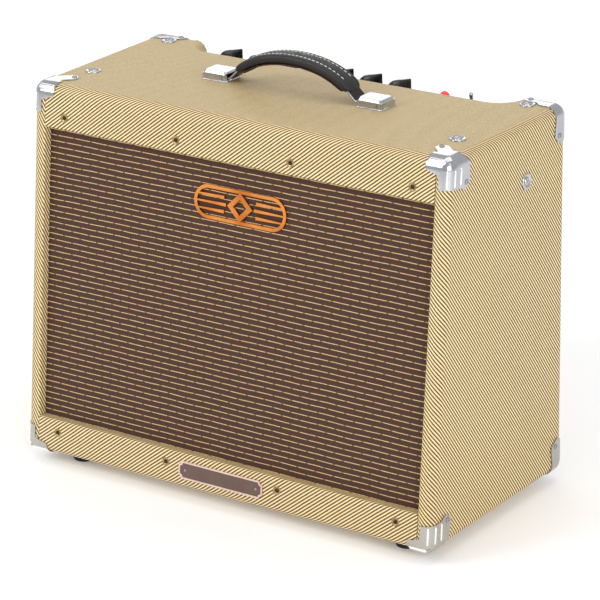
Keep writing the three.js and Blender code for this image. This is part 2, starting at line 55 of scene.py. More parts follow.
right_low, right_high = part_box("side_panel_right")
HALF_WIDTH = right_high.x
BASE = right_low.z
TOP = right_high.z
HEIGHT = TOP - BASE
BACK = right_high.y
DEPTH = 288 * MM
LEAN = 44 * MM
LEAN_ANGLE = math.atan2(LEAN, HEIGHT)
BOARD = 18 * MM
SEAM = HALF_WIDTH - BOARD
CORNER = 14 * MM
EDGE = 11 * MM
SOFT = 2.5 * MM  # small rounding where cloth turns over an inner edge
TURN_IN = 13.4 * MM  # how far the cloth runs on into the openings
FRONT = BACK - DEPTH
OPENING_BOTTOM = 45.3 * MM
OPENING_TOP = 392 * MM
SUPPORT = 0.6 * MM  # a narrow ring that keeps flat faces flat when shaded smooth

CABINET = "cabinet"


def front_y(z):
    """Where the leaning front is at a height above the floor."""
    return FRONT + LEAN * (z - BASE) / HEIGHT


def on_front(depth, slope):
    """(y, z) of a point at a depth behind the leaning front and a distance up its slope."""
    cos, sin = math.cos(LEAN_ANGLE), math.sin(LEAN_ANGLE)
    return FRONT + depth * cos + slope * sin, BASE - depth * sin + slope * cos


# ------------------------------------------------------------------ mesh helpers


def mesh_object(name, verts, faces, uvs=None, face_materials=None):
    """A smooth-shaded mesh object; uvs holds one pair for each vertex, in metres of cloth."""
    mesh = bpy.data.meshes.new(name)
    mesh.from_pydata([tuple(v) for v in verts], [], faces)
    if uvs is not None:
        layer = mesh.uv_layers.new(name="cloth")
        for loop in mesh.loops:
            layer.data[loop.index].uv = uvs[loop.vertex_index]
    for polygon in mesh.polygons:
        polygon.use_smooth = True
        if face_materials:
            polygon.material_index = face_materials[polygon.index]
    mesh.validate()
    obj = bpy.data.objects.new(name, mesh)
    bpy.context.scene.collection.objects.link(obj)
    return obj


def outward(obj, weld=0.0):
    """Turns the faces of a closed mesh to point out, after welding points that lie together."""
    bm = bmesh.new()
    bm.from_mesh(obj.data)
    if weld:
        bmesh.ops.remove_doubles(bm, verts=bm.verts, dist=weld)
    bmesh.ops.recalc_face_normals(bm, faces=bm.faces)
    bm.to_mesh(obj.data)
    bm.free()
    return obj


def strips(rows, columns, closed):
    """Faces between consecutive rows of a grid of vertices, numbered row by row."""
    faces = []
    span = columns if closed else columns - 1
    for row in range(rows - 1):
        for k in range(span):
            a = row * columns + k
            b = row * columns + (k + 1) % columns
            faces.append((a, b, b + columns, a + columns))
    return faces


def circle(count, offset=0.0):
    """(cos, sin) of even directions round a circle, the first at an offset counted in steps."""
    angles = [2 * math.pi * (k + offset) / count for k in range(count)]
    return [(math.cos(angle), math.sin(angle)) for angle in angles]


def lathe(name, profile, place, segments=32, axis="Z"):
    """A closed turned mesh. Pairs are (radius, height) from the lowest centre to the highest."""
    rings = [(radius, height) for radius, height in profile if radius > 0]
    verts = [Vector((r * cos, r * sin, height)) for r, height in rings for cos, sin in circle(segments)]
    faces = strips(len(rings), segments, True)
    low, high = len(verts), len(verts) + 1
    verts += [Vector((0, 0, profile[0][1])), Vector((0, 0, profile[-1][1]))]
    top = (len(rings) - 1) * segments
    for k in range(segments):
        after = (k + 1) % segments
        faces.append((low, after, k))
        faces.append((high, top + k, top + after))
    turn = {
        "Z": Matrix.Identity(3),
        "Y": Matrix.Rotation(math.radians(-90), 3, "X"),
        "X": Matrix.Rotation(math.radians(90), 3, "Y"),
    }[axis]
    return mesh_object(name, [turn @ v + Vector(place) for v in verts], faces)


def turned_ring(name, profile, to_world, segments):
    """A closed ring turned from a closed profile of (radius, height) pairs in millimetres."""
    around = circle(segments)
    verts = []
    for radius, height in profile:
        verts += [to_world(radius * cos * MM, radius * sin * MM, height * MM) for cos, sin in around]
    count = len(profile)
    faces = []
    for row in range(count):
        here, above = row * segments, ((row + 1) % count) * segments
        for k in range(segments):
            after = (k + 1) % segments
            faces.append((here + k, here + after, above + after, above + k))
    return outward(mesh_object(name, verts, faces))


def mm(points):
    """Pairs given in millimetres, in metres."""
    return [(a * MM, b * MM) for a, b in points]


def standing_at(place):
    """A function that puts (x, y, height) on top of a place, as prism and turned_ring take it."""
    return lambda x, y, height: Vector(place) + Vector((x, y, height))


def lofted(name, verts, count):
    """A closed skin over rings of count vertices, capped at the first and the last ring."""
    faces = strips(len(verts) // count, count, True)
    faces.append(tuple(range(count)))
    faces.append(tuple(range(len(verts) - count, len(verts))))
    return outward(mesh_object(name, verts, faces))


def rectangle(x, y, half_x, half_y):
    """Four corners round a middle, in the order that rounded_outline takes."""
    return [(x + a * half_x, y + b * half_y) for a, b in ((-1, -1), (1, -1), (1, 1), (-1, 1))]


def travelled(points):
    """How far a line of (a, b) points has run at each of them."""
    travel = [0.0]
    for (a0, b0), (a1, b1) in zip(points, points[1:]):
        travel.append(travel[-1] + math.hypot(a1 - a0, b1 - b0))
    return travel


def rounded_outline(corners, radii, steps):
    """Points of a closed outline whose corners are rounded; a radius of 0 keeps the corner."""
    outline = []
    count = len(corners)
    for i, (corner, radius) in enumerate(zip(corners, radii)):
        here = Vector(corner)
        if radius <= 0:
            outline.append(here)
            continue
        before = (Vector(corners[i - 1]) - here).normalized()
        after = (Vector(corners[(i + 1) % count]) - here).normalized()
        half = before.angle(after) / 2
        centre = here + (before + after).normalized() * (radius / math.sin(half))
        start = here + before * (radius / math.tan(half)) - centre
        end = here + after * (radius / math.tan(half)) - centre
        sweep = start.angle_signed(end)
        for k in range(steps + 1):
            arm = start.copy()
            arm.rotate(Matrix.Rotation(-sweep * k / steps, 2))
            outline.append(centre + arm)
    return outline


def fillet_points(radius, steps):
    """(inward, height) of a quarter round that ends level, with the height counted from its top."""
    points = []
    for k in range(steps + 1):
        angle = math.pi / 2 * k / steps
        points.append((radius * (1 - math.cos(angle)), radius * (math.sin(angle) - 1)))
    return points


def bevel(obj, width, segments=3, angle=35):
    """Rounds the sharp edges of a mesh and keeps its flats flat."""
    modifier = obj.modifiers.new("bevel", "BEVEL")
    modifier.width = width
    modifier.segments = segments
    modifier.limit_method = "ANGLE"
    modifier.angle_limit = math.radians(angle)
    modifier.harden_normals = True
    return obj


def crisp(obj, angle=40):
    """Smooth shading with sharp edges kept where faces meet at more than an angle."""
    for polygon in obj.data.polygons:
        polygon.use_smooth = True
    obj.data.set_sharp_from_angle(angle=math.radians(angle))
    obj.modifiers.new("flats", "WEIGHTED_NORMAL").keep_sharp = True
    return obj


def dress(obj, material, body=CABINET, replaces=()):
    """Gives a piece its material and body."""
    if obj.data.materials:
        obj.data.materials.clear()
    for each in material if isinstance(material, list) else [material]:
        obj.data.materials.append(each)
    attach(obj, body)
    if replaces:
        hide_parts(*replaces)
    return obj


def block(name, low, high, width=0.0, segments=3):
    """A box between two corners, with rounded edges."""
    xs, ys, zs = zip(low, high)
    verts = [(x, y, z) for x in xs for y in ys for z in zs]
    faces = [(0, 1, 3, 2), (4, 6, 7, 5), (0, 4, 5, 1), (2, 3, 7, 6), (0, 2, 6, 4), (1, 5, 7, 3)]
    obj = mesh_object(name, verts, faces)
    if width:
        bevel(obj, width, segments)
    return obj


def prism(name, outline, to_world, low, high):
    """An outline of 2-D points extruded between two heights; to_world places (a, b, height)."""
    count = len(outline)
    verts = [to_world(a, b, height) for height in (low, high) for a, b in outline]
    faces = strips(2, count, True)
    faces.append(tuple(range(count))[::-1])
    faces.append(tuple(range(count, 2 * count)))
    return outward(mesh_object(name, verts, faces))


# ------------------------------------------------------------------ node helpers


class Nodes:
    """Short calls for building a node material."""

    def __init__(self, name):
        self.material = bpy.data.materials.new(name)
        self.material.use_nodes = True
        self.tree = self.material.node_tree
        self.shader = self.tree.nodes["Principled BSDF"]

    def add(self, kind, **settings):
        node = self.tree.nodes.new(kind)
        for key, value in settings.items():
            setattr(node, key, value)
        return node

    def link(self, source, target):
        self.tree.links.new(source, target)

    def feed(self, socket, value):
        if isinstance(value, bpy.types.NodeSocket):
            self.link(value, socket)
        else:
            socket.default_value = value

    def math(self, operation, a, b=0.0):
        node = self.add("ShaderNodeMath", operation=operation)
        self.feed(node.inputs[0], a)
        self.feed(node.inputs[1], b)
        return node.outputs[0]

    def times(self, a, b):
        return self.math("MULTIPLY", a, b)

    def minus(self, a, b):
        return self.math("SUBTRACT", a, b)

    def total(self, first, *others):
        for value in others:
            first = self.math("ADD", first, value)
        return first

    def wave(self, value, pitch):
        """A sine of a distance that repeats once in a pitch."""
        return self.math("SINE", self.times(value, 2 * math.pi / pitch))

    def smooth(self, value, low, high, to_low=0.0, to_high=1.0):
        node = self.add("ShaderNodeMapRange", interpolation_type="SMOOTHSTEP")
        self.feed(node.inputs["Value"], value)
        limits = {"From Min": low, "From Max": high, "To Min": to_low, "To Max": to_high}
        for key, limit in limits.items():
            node.inputs[key].default_value = limit
        return node.outputs["Result"]

    def noise(self, vector, scale, detail=3.0, roughness=0.5):
        node = self.add("ShaderNodeTexNoise")
        self.link(vector, node.inputs["Vector"])
        node.inputs["Scale"].default_value = scale
        node.inputs["Detail"].default_value = detail
        node.inputs["Roughness"].default_value = roughness
        return node.outputs["Fac"]

    def mix(self, factor, a, b, blend="MIX"):
        node = self.add("ShaderNodeMix", data_type="RGBA", blend_type=blend)
        self.feed(node.inputs["Factor"], factor)
        for key, value in (("A", a), ("B", b)):
            socket = [s for s in node.inputs if s.name == key and s.type == "RGBA"][0]
            self.feed(socket, value)
        return [s for s in node.outputs if s.type == "RGBA"][0]

    def object_coordinates(self):
        return self.add("ShaderNodeTexCoord").outputs["Object"]

    def split(self, vector):
        node = self.add("ShaderNodeSeparateXYZ")
        self.link(vector, node.inputs[0])
        return node.outputs

    def bump(self, height, strength, distance):
        node = self.add("ShaderNodeBump")
        self.link(height, node.inputs["Height"])
        node.inputs["Strength"].default_value = strength
        node.inputs["Distance"].default_value = distance
        self.link(node.outputs["Normal"], self.shader.inputs["Normal"])

    def set(self, **values):
        for key, value in values.items():
            self.feed(self.shader.inputs[key.replace("_", " ")], value)


def srgb(red, green, blue):
    """A display colour from 0 to 255 as a linear node colour."""
    def linear(value):
        value /= 255
        return value / 12.92 if value <= 0.04045 else ((value + 0.055) / 1.055) ** 2.4

    return linear(red), linear(green), linear(blue), 1.0


# ------------------------------------------------------------------ materials

STRIPES_ALONG = 182.0  # tweed stripes met in a metre along the cloth's length
STRIPES_ACROSS = 232.0  # and across its width
THREAD = 0.9 * MM


def tweed_material():
    """Lacquered tweed: cream and brown stripes of thread that run diagonally over the cloth."""
    n = Nodes("tweed")
    along, across, _ = n.split(n.add("ShaderNodeUVMap", uv_map="cloth").outputs["UV"])
    place = n.object_coordinates()
    drift = n.times(n.minus(n.noise(place, 14.0, 2.0), 0.5), 0.5)
    warp = n.wave(along, THREAD)
    weft = n.wave(across, THREAD)
    fuzz = n.minus(n.noise(place, 900.0, 2.0), 0.5)
    diagonal = n.minus(n.times(along, STRIPES_ALONG), n.times(across, STRIPES_ACROSS))
    phase = n.total(diagonal, drift, n.times(warp, 0.05), n.times(fuzz, 0.22))
    cream = n.smooth(n.math("PINGPONG", phase, 0.5), 0.17, 0.30)
    pale = n.mix(n.noise(place, 5.0, 3.0), srgb(255, 233, 180), srgb(246, 216, 156))
    dark = n.mix(n.noise(place, 260.0, 2.0), srgb(88, 56, 28), srgb(60, 36, 17))
    weave = n.times(n.total(warp, weft), 0.25)
    shade = n.total(n.times(weave, 0.12), 0.94)
    grey = n.add("ShaderNodeCombineColor")
    for key in ("Red", "Green", "Blue"):
        n.link(shade, grey.inputs[key])
    n.set(
        Base_Color=n.mix(1.0, n.mix(cream, dark, pale), grey.outputs["Color"], "MULTIPLY"),
        Roughness=n.smooth(cream, 0, 1, 0.68, 0.52),
        Coat_Weight=0.12,
        Coat_Roughness=0.45,
    )
    n.bump(n.total(n.times(cream, 0.6), n.times(weave, 0.5), n.times(fuzz, 0.6)), 0.55, 0.25 * MM)
    return n.material


GRILLE_ROW = 6.86 * MM  # from one row of gold thread to the next
GRILLE_RUN = 24 * MM  # from one floating run to the next in a row


def grille_material():
    """Dark brown woven cloth crossed by thin gold threads that float in staggered runs."""
    n = Nodes("grille_cloth")
    place = n.object_coordinates()
    x, _, z = n.split(place)
    wander = n.times(n.minus(n.noise(place, 22.0, 2.0), 0.5), 1.6 * MM)
    slope = n.total(n.math("DIVIDE", n.minus(z, BASE), math.cos(LEAN_ANGLE)), wander)
    rows = n.math("DIVIDE", slope, GRILLE_ROW)
    stagger = n.math("FRACT", n.times(n.math("FLOOR", rows), 0.5))
    runs = n.total(n.math("DIVIDE", x, GRILLE_RUN), stagger)
    from_row = n.math("ABSOLUTE", n.minus(n.math("FRACT", rows), 0.5))
    from_run = n.math("ABSOLUTE", n.minus(n.math("FRACT", runs), 0.5))
    thin = n.smooth(from_row, 0.045, 0.085, 1.0, 0.0)
    afloat = n.smooth(from_run, 0.40, 0.47, 1.0, 0.22)
    gold = n.times(thin, afloat)
    rib = n.total(n.times(n.wave(x, 2.4 * MM), 0.5), 0.5)
    weft = n.wave(slope, 1.2 * MM)
    speckle = n.smooth(n.noise(place, 700.0, 2.0), 0.35, 0.7)
    brown = n.mix(speckle, n.mix(rib, srgb(42, 21, 9), srgb(80, 44, 24)), srgb(60, 33, 17))
    bright = n.mix(n.noise(place, 300.0, 2.0), srgb(244, 208, 146), srgb(196, 150, 92))
    n.set(
        Base_Color=n.mix(gold, brown, bright),
        Roughness=n.smooth(gold, 0, 1, 0.85, 0.45),
        Sheen_Weight=0.15,
        Sheen_Roughness=0.5,
    )
    n.bump(n.total(n.times(gold, 0.8), n.times(rib, 0.5), n.times(weft, 0.12)), 0.7, 0.5 * MM)
    return n.material


def metal_material(name, colour, roughness, tint=None):
    """Plated metal with faint wear: varied roughness, tiny dents and a second tone."""
    n = Nodes(name)
    place = n.object_coordinates()
    fine = n.noise(place, 320.0, 4.0)
    broad = n.smooth(n.noise(place, 28.0, 3.0), 0.35, 0.7)
    other = tint or tuple(c * 0.86 for c in colour[:3]) + (1.0,)
    n.set(
        Base_Color=n.mix(broad, colour, other),
        Roughness=n.smooth(fine, 0.3, 0.75, roughness, roughness + 0.1),
        Metallic=1.0,
    )
    n.bump(fine, 0.05, 0.2 * MM)
    return n.material


def plastic_material(name, colour, roughness, grain=400.0, depth=0.06):
    """Moulded plastic, paint or rubber: one tone with slight grain and dust in it."""
    n = Nodes(name)
    place = n.object_coordinates()
    fine = n.noise(place, grain, 3.0)
    dust = n.smooth(n.noise(place, 18.0, 3.0), 0.4, 0.75)
    lighter = tuple(min(1.0, c * 1.35 + 0.004) for c in colour[:3]) + (1.0,)
    n.set(
        Base_Color=n.mix(dust, colour, lighter),
        Roughness=n.smooth(fine, 0.25, 0.75, max(0.05, roughness - 0.08), roughness + 0.1),
    )
    n.bump(fine, 0.15, depth * MM)
    return n.material


def leather_material():
    """Black pebbled leather with soft creases."""
    n = Nodes("leather")
    place = n.object_coordinates()
    cells = n.add("ShaderNodeTexVoronoi", feature="SMOOTH_F1")
    n.link(place, cells.inputs["Vector"])
    cells.inputs["Scale"].default_value = 900.0
    creases = n.noise(place, 120.0, 5.0, 0.6)
    n.bump(n.total(n.times(cells.outputs["Distance"], -0.8), n.times(creases, 0.8)), 0.45, 0.3 * MM)
    n.set(
        Base_Color=n.mix(creases, srgb(15, 15, 17), srgb(36, 36, 40)),
        Roughness=n.smooth(creases, 0.3, 0.7, 0.38, 0.58),
    )
    return n.material


def plywood_material(name, light, dark):
    """Board with long wavy grain."""
    n = Nodes(name)
    stretch = n.add("ShaderNodeMapping")
    n.link(n.object_coordinates(), stretch.inputs["Vector"])
    stretch.inputs["Scale"].default_value = (3.0, 40.0, 60.0)
    grain = n.noise(stretch.outputs["Vector"], 3.0, 6.0, 0.6)
    n.bump(grain, 0.25, 0.3 * MM)
    n.set(
        Base_Color=n.mix(n.smooth(grain, 0.3, 0.72), light, dark),
        Roughness=n.smooth(grain, 0.2, 0.8, 0.6, 0.8),
    )
    return n.material


def paper_material():
    """Pressed paper with fine fibres."""
    n = Nodes("paper_cone")
    fibre = n.noise(n.object_coordinates(), 420.0, 5.0, 0.7)
    n.set(Base_Color=n.mix(fibre, srgb(30, 28, 27), srgb(62, 58, 54)), Roughness=0.9)
    n.bump(fibre, 0.4, 0.3 * MM)
    return n.material


def jewel_material():
    """Red faceted lens with light inside it."""
    n = Nodes("jewel")
    cloud = n.noise(n.object_coordinates(), 200.0, 2.0)
    n.set(
        Base_Color=n.mix(cloud, srgb(214, 22, 34), srgb(246, 70, 70)),
        Roughness=0.08,
        Coat_Weight=0.6,
        Emission_Color=srgb(235, 30, 35),
        Emission_Strength=0.25,
    )
    return n.material


def glass_material():
    """Clear tube glass with a smoky bloom."""
    n = Nodes("glass")
    bloom = n.noise(n.object_coordinates(), 40.0, 2.0)
    n.set(
        Base_Color=n.mix(bloom, srgb(214, 222, 226), srgb(150, 158, 164)),
        Roughness=0.06,
        Transmission_Weight=0.75,
        Alpha=0.55,
    )
    return n.material


tweed = tweed_material()
grille_cloth = grille_material()
# nickel for the getter and the lower back cups, and also the bottom corners' darker copy of the chrome:
# painted shade
nickel = metal_material("nickel", srgb(186, 184, 178), 0.2)
chrome = metal_material("chrome", srgb(196, 198, 202), 0.1)
# pure white metal for the corner ribs and bars, brighter than the chrome they are pressed from: painted
# highlight
polished = metal_material("polished", srgb(255, 255, 255), 0.16)
steel = metal_material("zinc_steel", srgb(172, 174, 176), 0.36)
copper = metal_material("copper", srgb(226, 146, 74), 0.26, tint=srgb(196, 112, 50))
bronze = metal_material("bronze", srgb(176, 146, 100), 0.3)
dark_steel = metal_material("dark_steel", srgb(70, 66, 62), 0.4)
plate_grey = metal_material("plate_grey", srgb(124, 104, 96), 0.42)
plate_border = metal_material("plate_border", srgb(238, 212, 204), 0.38)
rubber = plastic_material("rubber", srgb(26, 26, 28), 0.72, depth=0.2)
knob_black = plastic_material("black_plastic", srgb(17, 17, 19), 0.24)
black_paint = plastic_material("black_steel", srgb(30, 31, 33), 0.42, depth=0.1)
board_green = plastic_material("circuit", srgb(38, 96, 58), 0.5)
thread_white = plastic_material("thread", srgb(226, 224, 214), 0.8, grain=2000.0, depth=0.2)
indicator_white = plastic_material("indicator", srgb(232, 232, 228), 0.5)
leather = leather_material()
raw_leather = plastic_material("raw_leather", srgb(58, 38, 26), 0.7, grain=300.0, depth=0.2)
plate_steel = metal_material("plate_steel", srgb(104, 106, 110), 0.5)
plywood = plywood_material("plywood", srgb(206, 170, 120), srgb(160, 118, 74))
inner_wood = plywood_material("inner_wood", srgb(120, 90, 60), srgb(82, 58, 38))
paper = paper_material()
jewel = jewel_material()
glass = glass_material()

# ------------------------------------------------------------------ tweed boards

ROUND_STEPS = 8
SEAM_STEPS = 3  # steps of the small rounding beside a seam


def side_outline(inset):
    """The side view of the cabinet, inset by a distance, as (y, z) points with rounded corners."""
    slant = inset / math.cos(LEAN_ANGLE)
    low, high = BASE + inset, TOP - inset
    corners = [
        (front_y(low) + slant, low),
        (BACK - inset, low),
        (BACK - inset, high),
        (front_y(high) + slant, high),
    ]
    return rounded_outline(corners, [max(CORNER - inset, 0.3 * MM)] * 4, ROUND_STEPS)


def outer_edge(grow, steps):
    """(x, inset) pairs round the rounded edge of the cabinet's right end, grown outwards."""
    points = []
    for k in range(steps + 1):
        angle = math.pi / 2 * k / steps
        radius = EDGE + grow
        points.append((HALF_WIDTH - EDGE + radius * math.sin(angle), EDGE - radius * math.cos(angle)))
    return points + [(HALF_WIDTH + grow, EDGE + SUPPORT)]


def side_profile():
    """(x, inset) pairs from the inner face of a side board, round its outer edge, to its outside."""
    turn = [(SEAM + inward, -height) for inward, height in fillet_points(SOFT, SEAM_STEPS)]
    return [(SEAM, TURN_IN)] + turn + outer_edge(0.0, ROUND_STEPS)


def side_normal(k, count):
    """The outward (y, z) direction at a point of the side outline."""
    steps = count // 4
    corner, step = divmod(k, steps)
    bottom, back, top = math.radians(270), 0.0, math.radians(90)
    lean = math.pi - LEAN_ANGLE
    spans = [(lean, bottom), (bottom - 2 * math.pi, back), (back, top), (top, lean)]
    start, end = spans[corner]
    angle = start + (end - start) * step / (steps - 1)
    return math.cos(angle), math.sin(angle)


def side_board(side):
    """One side board as a closed skin. Cloth positions are unrolled from the flat outside."""
    profile = side_profile()
    outlines = [side_outline(inset) for _, inset in profile]
    flat = side_outline(EDGE)
    count = len(flat)
    travel = travelled(profile)
    length = travel[-2]
    to_seam = length - travel[1 + SEAM_STEPS]
    cloth_top = SEAM + SOFT + TOP - EDGE + to_seam
    verts, uvs = [], []
    for (x, _), outline, at in zip(profile, outlines, travel):
        for k, (y, z) in enumerate(outline):
            normal = side_normal(k, count)
            cloth_y = flat[k][0] + normal[0] * (length - at)
            cloth_z = flat[k][1] + normal[1] * (length - at)
            verts.append((side * x, y, z))
            uvs.append((side * (cloth_top - cloth_z), cloth_y))
    rows = len(profile)
    faces = strips(rows, count, True)
    materials = [0] * len(faces)
    faces.append(tuple(range(count)))
    materials.append(1)
    faces.append(tuple(range((rows - 1) * count, rows * count)))
    materials.append(0)
    end = "right" if side > 0 else "left"
    obj = outward(mesh_object(f"tweed_side_{end}", verts, faces, uvs, materials))
    dress(obj, [tweed, inner_wood], replaces=[f"side_panel_{end}"])


side_board(1)
side_board(-1)


PROBE = 4 * MM  # how far in front of a face to look when asking what it faces
REAR_TURN_IN = 8 * MM  # cloth that runs on round the rear edges


def line_inside(obj):
    """Marks the faces that look into the cabinet as bare wood, the second material."""
    for polygon in obj.data.polygons:
        point = polygon.center + polygon.normal * PROBE
        inside_x = abs(point.x) < SEAM - MM
        inside_y = front_y(point.z) + BOARD - MM < point.y < BACK - REAR_TURN_IN
        inside_z = BASE + BOARD - MM < point.z < TOP - BOARD + MM
        if inside_x and inside_y and inside_z:
            polygon.material_index = 1
    return obj


def extruded_board(name, corners, radii, node, cloth_anchor, x_half=SEAM):
    """A board with a section in (y, z), run across the cabinet, with its cloth along the section.

    cloth_anchor is (index of a corner, cloth value there), so that cloth lines up between boards.
    """
    section = rounded_outline(corners, radii, ROUND_STEPS)
    travel = travelled(section)
    anchor_point = Vector(corners[cloth_anchor[0]])
    nearest = min(range(len(section)), key=lambda k: (section[k] - anchor_point).length)
    shift = cloth_anchor[1] - travel[nearest]
    verts, uvs = [], []
    for x in (-x_half, x_half):
        for point, at in zip(section, travel):
            verts.append((x, point[0], point[1]))
            uvs.append((x, at + shift))
    count = len(section)
    faces = strips(2, count, False)
    faces.append((count - 1, 0, count, 2 * count - 1))
    faces.append(tuple(range(count)))
    faces.append(tuple(range(count, 2 * count)))
    obj = line_inside(crisp(outward(mesh_object(name, verts, faces, uvs))))
    dress(obj, [tweed, inner_wood], replaces=[node])


RAIL_BACK = BOARD + 0.3 * MM
top_seam_y = on_front(RAIL_BACK, 0)[0] + LEAN
extruded_board(
    "tweed_top_rail",
    [
        on_front(BOARD, OPENING_TOP),
        on_front(0, OPENING_TOP),
        (front_y(TOP), TOP),
        (top_seam_y, TOP),
        (top_seam_y, TOP - BOARD),
        on_front(BOARD, OPENING_TOP + 30 * MM),
    ],
    [0, SOFT, CORNER, 0, 0, 0],
    "top_rail",
    (3, top_seam_y),
)
bottom_seam_y = on_front(RAIL_BACK, 0)[0]
extruded_board(
    "tweed_bottom_rail",
    [
        (bottom_seam_y, BASE + BOARD),
        (bottom_seam_y, BASE),
        (front_y(BASE), BASE),
        on_front(0, OPENING_BOTTOM),
        on_front(BOARD, OPENING_BOTTOM),
    ],
    [0, 0, CORNER, SOFT, 0],
    "bottom_rail",
    (1, bottom_seam_y),
)
extruded_board(
    "tweed_bottom_board",
    [
        (bottom_seam_y, BASE),
        (BACK, BASE),
        (BACK, BASE + BOARD),
        (bottom_seam_y, BASE + BOARD),
    ],
    [0, CORNER, SOFT, 0],
    "bottom_panel",
    (0, bottom_seam_y),
    SEAM + SOFT,
)

# ------------------------------------------------------------------ top board with its recess

RECESS_LEFT = -206 * MM
RECESS_RIGHT = 222 * MM
RECESS_FRONT = BACK - 33 * MM
RECESS_FILLET = 24 * MM
EAR_ROUND = 15 * MM
PANEL_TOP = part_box("control_panel")[1].z
COVER = SEAM + SOFT  # the top and bottom boards close over the sides' inner rounding


def recess_line(inset):
    """The rear edge of the top board from left to right, moved into the board by a distance.

    Returns points and the direction out of the board at each, as (x, y) pairs.
    """
    rear = BACK - inset
    wall = RECESS_FRONT - inset
    left, right = RECESS_LEFT - inset, RECESS_RIGHT + inset
    ear, fillet = EAR_ROUND - inset, RECESS_FILLET + inset
    points, outs = [(-COVER, rear)], [(0.0, 1.0)]
    arcs = [
        ((left - ear, rear - ear), ear, 90, 0, 1),
        ((left + fillet, wall + fillet), fillet, 180, 270, -1),
        ((right - fillet, wall + fillet), fillet, 270, 360, -1),
        ((right + ear, rear - ear), ear, 180, 90, 1),
    ]
    for centre, radius, start, end, sign in arcs:
        for k in range(ROUND_STEPS + 1):
            angle = math.radians(start + (end - start) * k / ROUND_STEPS)
            cos, sin = math.cos(angle), math.sin(angle)
            points.append((centre[0] + radius * cos, centre[1] + radius * sin))
            outs.append((sign * cos, sign * sin))
    points.append((COVER, rear))
    outs.append((0.0, 1.0))
    return points, outs


def top_board():
    """The top board: a flat top that rolls over into the recess and the rear edge."""
    wall_foot = PANEL_TOP + 0.3 * MM
    rows = [(0.0, wall_foot)]
    rows += [(inward, TOP + height) for inward, height in fillet_points(CORNER, ROUND_STEPS)]
    rows.append((CORNER + SUPPORT, TOP))
    travel = travelled(rows)
    flat, _ = recess_line(CORNER)
    verts, uvs = [], []
    for (inset, z), at in zip(rows, travel):
        line, outs = recess_line(inset)
        reach = travel[-2] - at
        for point, out, base in zip(line, outs, flat):
            verts.append((point[0], point[1], z))
            uvs.append((base[0] + out[0] * reach, base[1] + out[1] * reach))
    count = len(flat)
    faces = strips(len(rows), count, False)
    last = (len(rows) - 1) * count
    under_z = TOP - BOARD
    front_top = len(verts)
    verts += [(COVER, top_seam_y, TOP), (-COVER, top_seam_y, TOP)]
    uvs += [(COVER, top_seam_y), (-COVER, top_seam_y)]
    faces.append(tuple(range(last, last + count)) + (front_top, front_top + 1))
    front_low = len(verts)
    verts += [(COVER, top_seam_y, under_z), (-COVER, top_seam_y, under_z)]
    uvs += [(COVER, top_seam_y), (-COVER, top_seam_y)]
    faces.append(tuple(range(count)) + (front_low, front_low + 1))
    right_column = [row * count + count - 1 for row in range(len(rows))]
    left_column = [row * count for row in range(len(rows))]
    faces.append(tuple(right_column) + (front_top, front_low))
    faces.append(tuple(left_column) + (front_top + 1, front_low + 1))
    faces.append((front_top, front_top + 1, front_low + 1, front_low))
    obj = line_inside(crisp(outward(mesh_object("tweed_top_board", verts, faces, uvs))))
    dress(obj, [tweed, inner_wood], replaces=["top_panel"])


top_board()

# ------------------------------------------------------------------ booleans


def combined(obj, other, operation):
    """Joins or cuts a closed mesh with another one, which is used up."""
    modifier = obj.modifiers.new("cut", "BOOLEAN")
    modifier.operation = operation
    modifier.solver = "MANIFOLD"
    modifier.object = other
    result = bpy.data.meshes.new_from_object(obj.evaluated_get(bpy.context.evaluated_depsgraph_get()))
    obj.modifiers.clear()
    obj.data = result
    bpy.data.objects.remove(other)
    return obj


def joined(name, parts):
    """Several mesh objects as one."""
    bm = bmesh.new()
    for part in parts:
        evaluated = part.evaluated_get(bpy.context.evaluated_depsgraph_get())
        copy = bpy.data.meshes.new_from_object(evaluated)
        copy.transform(part.matrix_world)
        bm.from_mesh(copy)
        bpy.data.objects.remove(part)
    mesh = bpy.data.meshes.new(name)
    bm.to_mesh(mesh)
    bm.free()
    obj = bpy.data.objects.new(name, mesh)
    bpy.context.scene.collection.objects.link(obj)
    return obj


# ------------------------------------------------------------------ screws


def screw_head(radius, height, place, normal, twist=0.0, cup=0.0):
    """A domed cross-head screw, with a turned cup washer under it when cup is its radius."""
    rings, segments = 9, 32
    arm, reach = radius * 0.16, radius * 0.62  # the cross slot's half width and length
    seat = -0.2 * MM
    verts, faces = [(0, 0, height - radius * 0.3)], []
    for ring in range(1, rings + 1):
        share = ring / rings
        for cos, sin in circle(segments):
            x, y = radius * share * cos, radius * share * sin
            z = height * math.sqrt(max(0.0, 1 - share ** 2 * 0.92))
            in_cross = min(abs(x), abs(y)) < arm and max(abs(x), abs(y)) < reach
            verts.append((x, y, z - radius * 0.35 if in_cross else z))
    for k in range(segments):
        faces.append((0, 1 + k, 1 + (k + 1) % segments))
    for a, b, c, d in strips(rings, segments, True):
        faces.append((a + 1, d + 1, c + 1, b + 1))
    foot = len(verts)
    verts += [(x, y, seat) for x, y, _ in verts[foot - segments:]]
    for k in range(segments):
        after = (k + 1) % segments
        faces.append((foot - segments + k, foot + k, foot + after, foot - segments + after))
    faces.append(tuple(range(foot, foot + segments))[::-1])
    head = mesh_object("screw", verts, faces)
    head.data.transform(Matrix.Rotation(twist, 4, "Z"))
    parts = [head]
    if cup:
        lip = cup * 0.16
        profile = [
            (0, seat), (cup, seat), (cup, lip * 0.5), (cup * 0.93, lip), (cup * 0.82, lip),
            (cup * 0.6, lip * 0.35), (radius * 1.02, seat / 2), (0, seat / 2),
        ]
        parts.append(lathe("cup", profile, (0, 0, 0)))
    turn = Vector((0, 0, 1)).rotation_difference(Vector(normal)).to_matrix().to_4x4()
    for part in parts:
        part.data.transform(Matrix.Translation(place) @ turn)
    return parts


